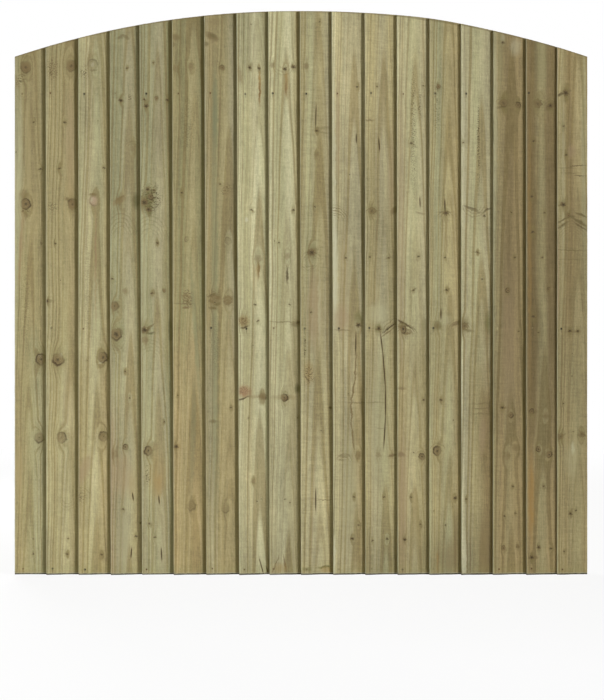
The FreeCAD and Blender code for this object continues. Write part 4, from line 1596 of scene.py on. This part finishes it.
def nails_mesh(node, inwards):
    """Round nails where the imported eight-sided ones stand, driven inwards, and the nail of each face."""
    vertices = []
    faces = []
    owners = []
    across = inwards.orthogonal().normalized()
    other = inwards.cross(across)
    parts = sorted(loose_parts(NODES[node]), key=lambda part: min(p.x for p in part))
    for order, part in enumerate(parts):
        reach = [p.dot(inwards) for p in part]
        head_at, tip_at = min(reach), max(reach)
        head = [p for p, r in zip(part, reach) if r < head_at + FACE_SLACK * MM]
        centre = sum(head, Vector()) / len(head)
        head_radius = max((p - centre).length for p in head)
        shank = [p for p, r in zip(part, reach) if tip_at - POINT_REACH < r < tip_at - MM]
        shank_radius = max((p - centre - inwards * (p - centre).dot(inwards)).length for p in shank)
        point_length = tip_at - max(p.dot(inwards) for p in shank)
        thickness = min(r for r in reach if r > head_at + FACE_SLACK * MM) - head_at
        profile = nail_profile(tip_at - head_at, shank_radius, head_radius, thickness, point_length)
        rings = []
        for distance, radius in profile:
            at = centre + inwards * distance
            if radius == 0.0:
                rings.append([len(vertices)])
                vertices.append(at)
                continue
            rings.append(list(range(len(vertices), len(vertices) + NAIL_AROUND)))
            for step in range(NAIL_AROUND):
                angle = 2.0 * math.pi * step / NAIL_AROUND
                vertices.append(at + (across * math.cos(angle) + other * math.sin(angle)) * radius)
        for before, after in zip(rings, rings[1:]):
            owners += [order] * NAIL_AROUND
            for step in range(NAIL_AROUND):
                following = (step + 1) % NAIL_AROUND
                if len(before) == 1:
                    faces.append((before[0], after[following], after[step]))
                elif len(after) == 1:
                    faces.append((before[step], before[following], after[0]))
                else:
                    faces.append((before[step], before[following], after[following], after[step]))
    return new_mesh(node + "_round", vertices, faces), owners


def nail_steel(finish):
    """A galvanised wire nail, dulled or blackened by the wood's tannin, with specks of rust."""
    material = bpy.data.materials.new(finish + "_galvanised_wire")
    tree = empty_tree(material)
    coordinates = add(tree, "ShaderNodeTexCoord").outputs["Object"]
    grades = {"Scale": 1.0 / (RUST_SPECK * MM), "Detail": 3.0}
    patches = add(tree, "ShaderNodeTexNoise", coordinates, named=grades).outputs["Fac"]
    rust = add(tree, "ShaderNodeMapRange", patches, 0.50, 0.62, 0.0, 0.5)
    colour = tinted(tree, linear(NAIL_FINISHES[finish][0]), "rust", rust)
    dull_surface(tree, colour, patches, bump=(1.0, 0.1), roughness=0.75, specular=0.2)
    return material


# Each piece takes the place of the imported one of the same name
for seed, name in enumerate(LOOKS, start=1):
    shape, mesh = board_mesh(name, seed)
    edge = shape.back_thick.x
    material = softwood(name, LOOKS[name], edge, shape.slant, shape.width, seed, own_nails(shape))
    add_piece("sawn_" + name, mesh, [material], name)

for seed, name in enumerate(BATTEN_LOOKS, start=31):
    level = name.endswith("rail")
    mesh, start = batten_mesh(name, seed, level)
    material = softwood(name, BATTEN_LOOKS[name], start, 0.0, BATTEN_WIDTH, seed, level=level)
    add_piece("sawn_" + name, mesh, [material], name)

NAIL_WIRES = {finish: nail_steel(finish) for finish in NAIL_FINISHES}
for row, name in enumerate(("top_row_nails", "middle_row_nails", "bottom_row_nails")):
    mesh, owners = nails_mesh(name, Vector((0, 1, 0)))
    add_piece("round_" + name, mesh, NAIL_WIRES.values(), name)
    finishes = [look.nails[row] for look in LOOKS.values()]
    for polygon, owner in zip(mesh.polygons, owners):
        polygon.material_index = list(NAIL_FINISHES).index(finishes[owner])
for name, inwards in (("left_frame_nails", (1, 0, 0)), ("right_frame_nails", (-1, 0, 0))):
    mesh, owners = nails_mesh(name, Vector(inwards))
    add_piece("round_" + name, mesh, [NAIL_WIRES["dark"]], name)

scene = bpy.context.scene
scene.view_settings.view_transform = "Standard"


def stand(name, data, place):
    """An object of the scene, such as a lamp, at this place in metres."""
    thing = bpy.data.objects.new(name, data)
    thing.location = place
    scene.collection.objects.link(thing)
    return thing


def square_on_camera():
    """A level camera whose picture is as high at the face as the photograph is."""
    data = bpy.data.cameras.new("camera")
    data.sensor_width = SENSOR_WIDTH
    data.lens = data.sensor_width * CAMERA_DISTANCE / PHOTO_HEIGHT_MM
    camera = stand("camera", data, Vector((CAMERA_X, -CAMERA_DISTANCE - FACE_OUT, CAMERA_Z)) * MM)
    camera.rotation_euler = (math.pi / 2.0, 0.0, 0.0)
    scene.camera = camera


def key_lamp():
    """A small lamp, graded so that the flat face is lit evenly from side to side."""
    data = bpy.data.lights.new("key", "POINT")
    data.shadow_soft_size = KEY_RADIUS * MM
    data.energy = 4.0 * math.pi * math.pi * KEY_STRENGTH
    tree = empty_tree(data)
    incoming = add(tree, "ShaderNodeNewGeometry")
    facing = add(tree, "ShaderNodeSeparateXYZ", incoming.outputs["Incoming"])
    steepness = add(tree, "ShaderNodeMath", facing.outputs["Y"], operation="ABSOLUTE")
    steepness = add(tree, "ShaderNodeMath", steepness, KEY_FLATTEST, operation="MAXIMUM")
    strength = add(tree, "ShaderNodeMath", 1.0, steepness, operation="DIVIDE")
    rising = add(tree, "ShaderNodeMath", facing.outputs["Z"], KEY_GRADE, 1.0, operation="MULTIPLY_ADD")
    strength = add(tree, "ShaderNodeMath", strength, rising, operation="MULTIPLY")
    falloff = add(tree, "ShaderNodeLightFalloff", strength, 0.0)
    emission = add(tree, "ShaderNodeEmission", KEY_TINT, falloff.outputs["Constant"])
    add(tree, "ShaderNodeOutputLight", emission)
    stand("key", data, Vector((KEY_X, -KEY_OUT, KEY_Z)) * MM)


def soft_lamp(name, place, aim, size, watts, colour):
    """A broad soft lamp that the camera doesn't see. Its place, aim and size are in metres."""
    data = bpy.data.lights.new(name, "AREA")
    data.shape = "RECTANGLE"
    data.size, data.size_y = size
    data.energy = watts
    data.color = colour
    lamp = stand(name, data, place)
    lamp.rotation_euler = (Vector(aim) - lamp.location).to_track_quat("-Z", "Y").to_euler()
    lamp.visible_camera = False


def seen_directly(tree):
    """The light path, and a node that gives 1 for a ray sent out by the camera or by a glossy face."""
    path = add(tree, "ShaderNodeLightPath").outputs
    camera, glossy = path["Is Camera Ray"], path["Is Glossy Ray"]
    return path, add(tree, "ShaderNodeMath", camera, glossy, operation="MAXIMUM")


def white_surround():
    """White where it is seen directly, and a weak warm fill for all other light."""
    world = bpy.data.worlds.new("studio")
    scene.world = world
    tree = empty_tree(world)
    path, seen = seen_directly(tree)
    seen = add(tree, "ShaderNodeMath", seen, path["Is Transmission Ray"], operation="MAXIMUM")
    fill = add(tree, "ShaderNodeBackground", FILL_TINT, FILL_STRENGTH)
    white = add(tree, "ShaderNodeBackground", WHITE, 1.0)
    both = add(tree, "ShaderNodeMixShader", seen, fill, white)
    add(tree, "ShaderNodeOutputWorld", both)


def white_floor():
    """A matt floor that takes soft shadows near the panel and turns to plain white further off."""
    reach = FLOOR_REACH
    corners = [(-reach, -reach, 0), (reach, -reach, 0), (reach, reach, 0), (-reach, reach, 0)]
    floor = stand("floor", new_mesh("floor", corners, [(0, 1, 2, 3)]), (0.0, 0.0, 0.0))
    material = bpy.data.materials.new("floor")
    tree = empty_tree(material)
    seen = seen_directly(tree)[1]
    spot = add(tree, "ShaderNodeTexCoord")
    far = add(tree, "ShaderNodeVectorMath", spot.outputs["Object"], operation="LENGTH").outputs["Value"]
    share = add(tree, "ShaderNodeMapRange", far, *FLOOR_FADE, FLOOR_GLOW, 1.0, **EASED)
    share = add(tree, "ShaderNodeMath", seen, share, operation="MULTIPLY")
    diffuse = add(tree, "ShaderNodeBsdfDiffuse", FLOOR_GREY)
    glow = add(tree, "ShaderNodeEmission", WHITE, 1.0)
    both = add(tree, "ShaderNodeMixShader", share, diffuse, glow)
    add(tree, "ShaderNodeOutputMaterial", both)
    floor.data.materials.append(material)


square_on_camera()
key_lamp()
# A weak lamp low on the left opens the shadows there, and one behind shows the frame from the back
soft_lamp(
    "low_left", place=(-1.3, -2.2, 0.35), aim=(0.0, 0.0, 0.5), size=(1.2, 0.8),
    watts=12.5, colour=(0.98, 1.0, 0.99),
)
soft_lamp(
    "back", place=(-1.6, 2.6, 2.0), aim=(0.0, 0.0, 0.8), size=(1.6, 1.2),
    watts=130.0, colour=(1.0, 1.0, 1.0),
)
white_surround()
white_floor()
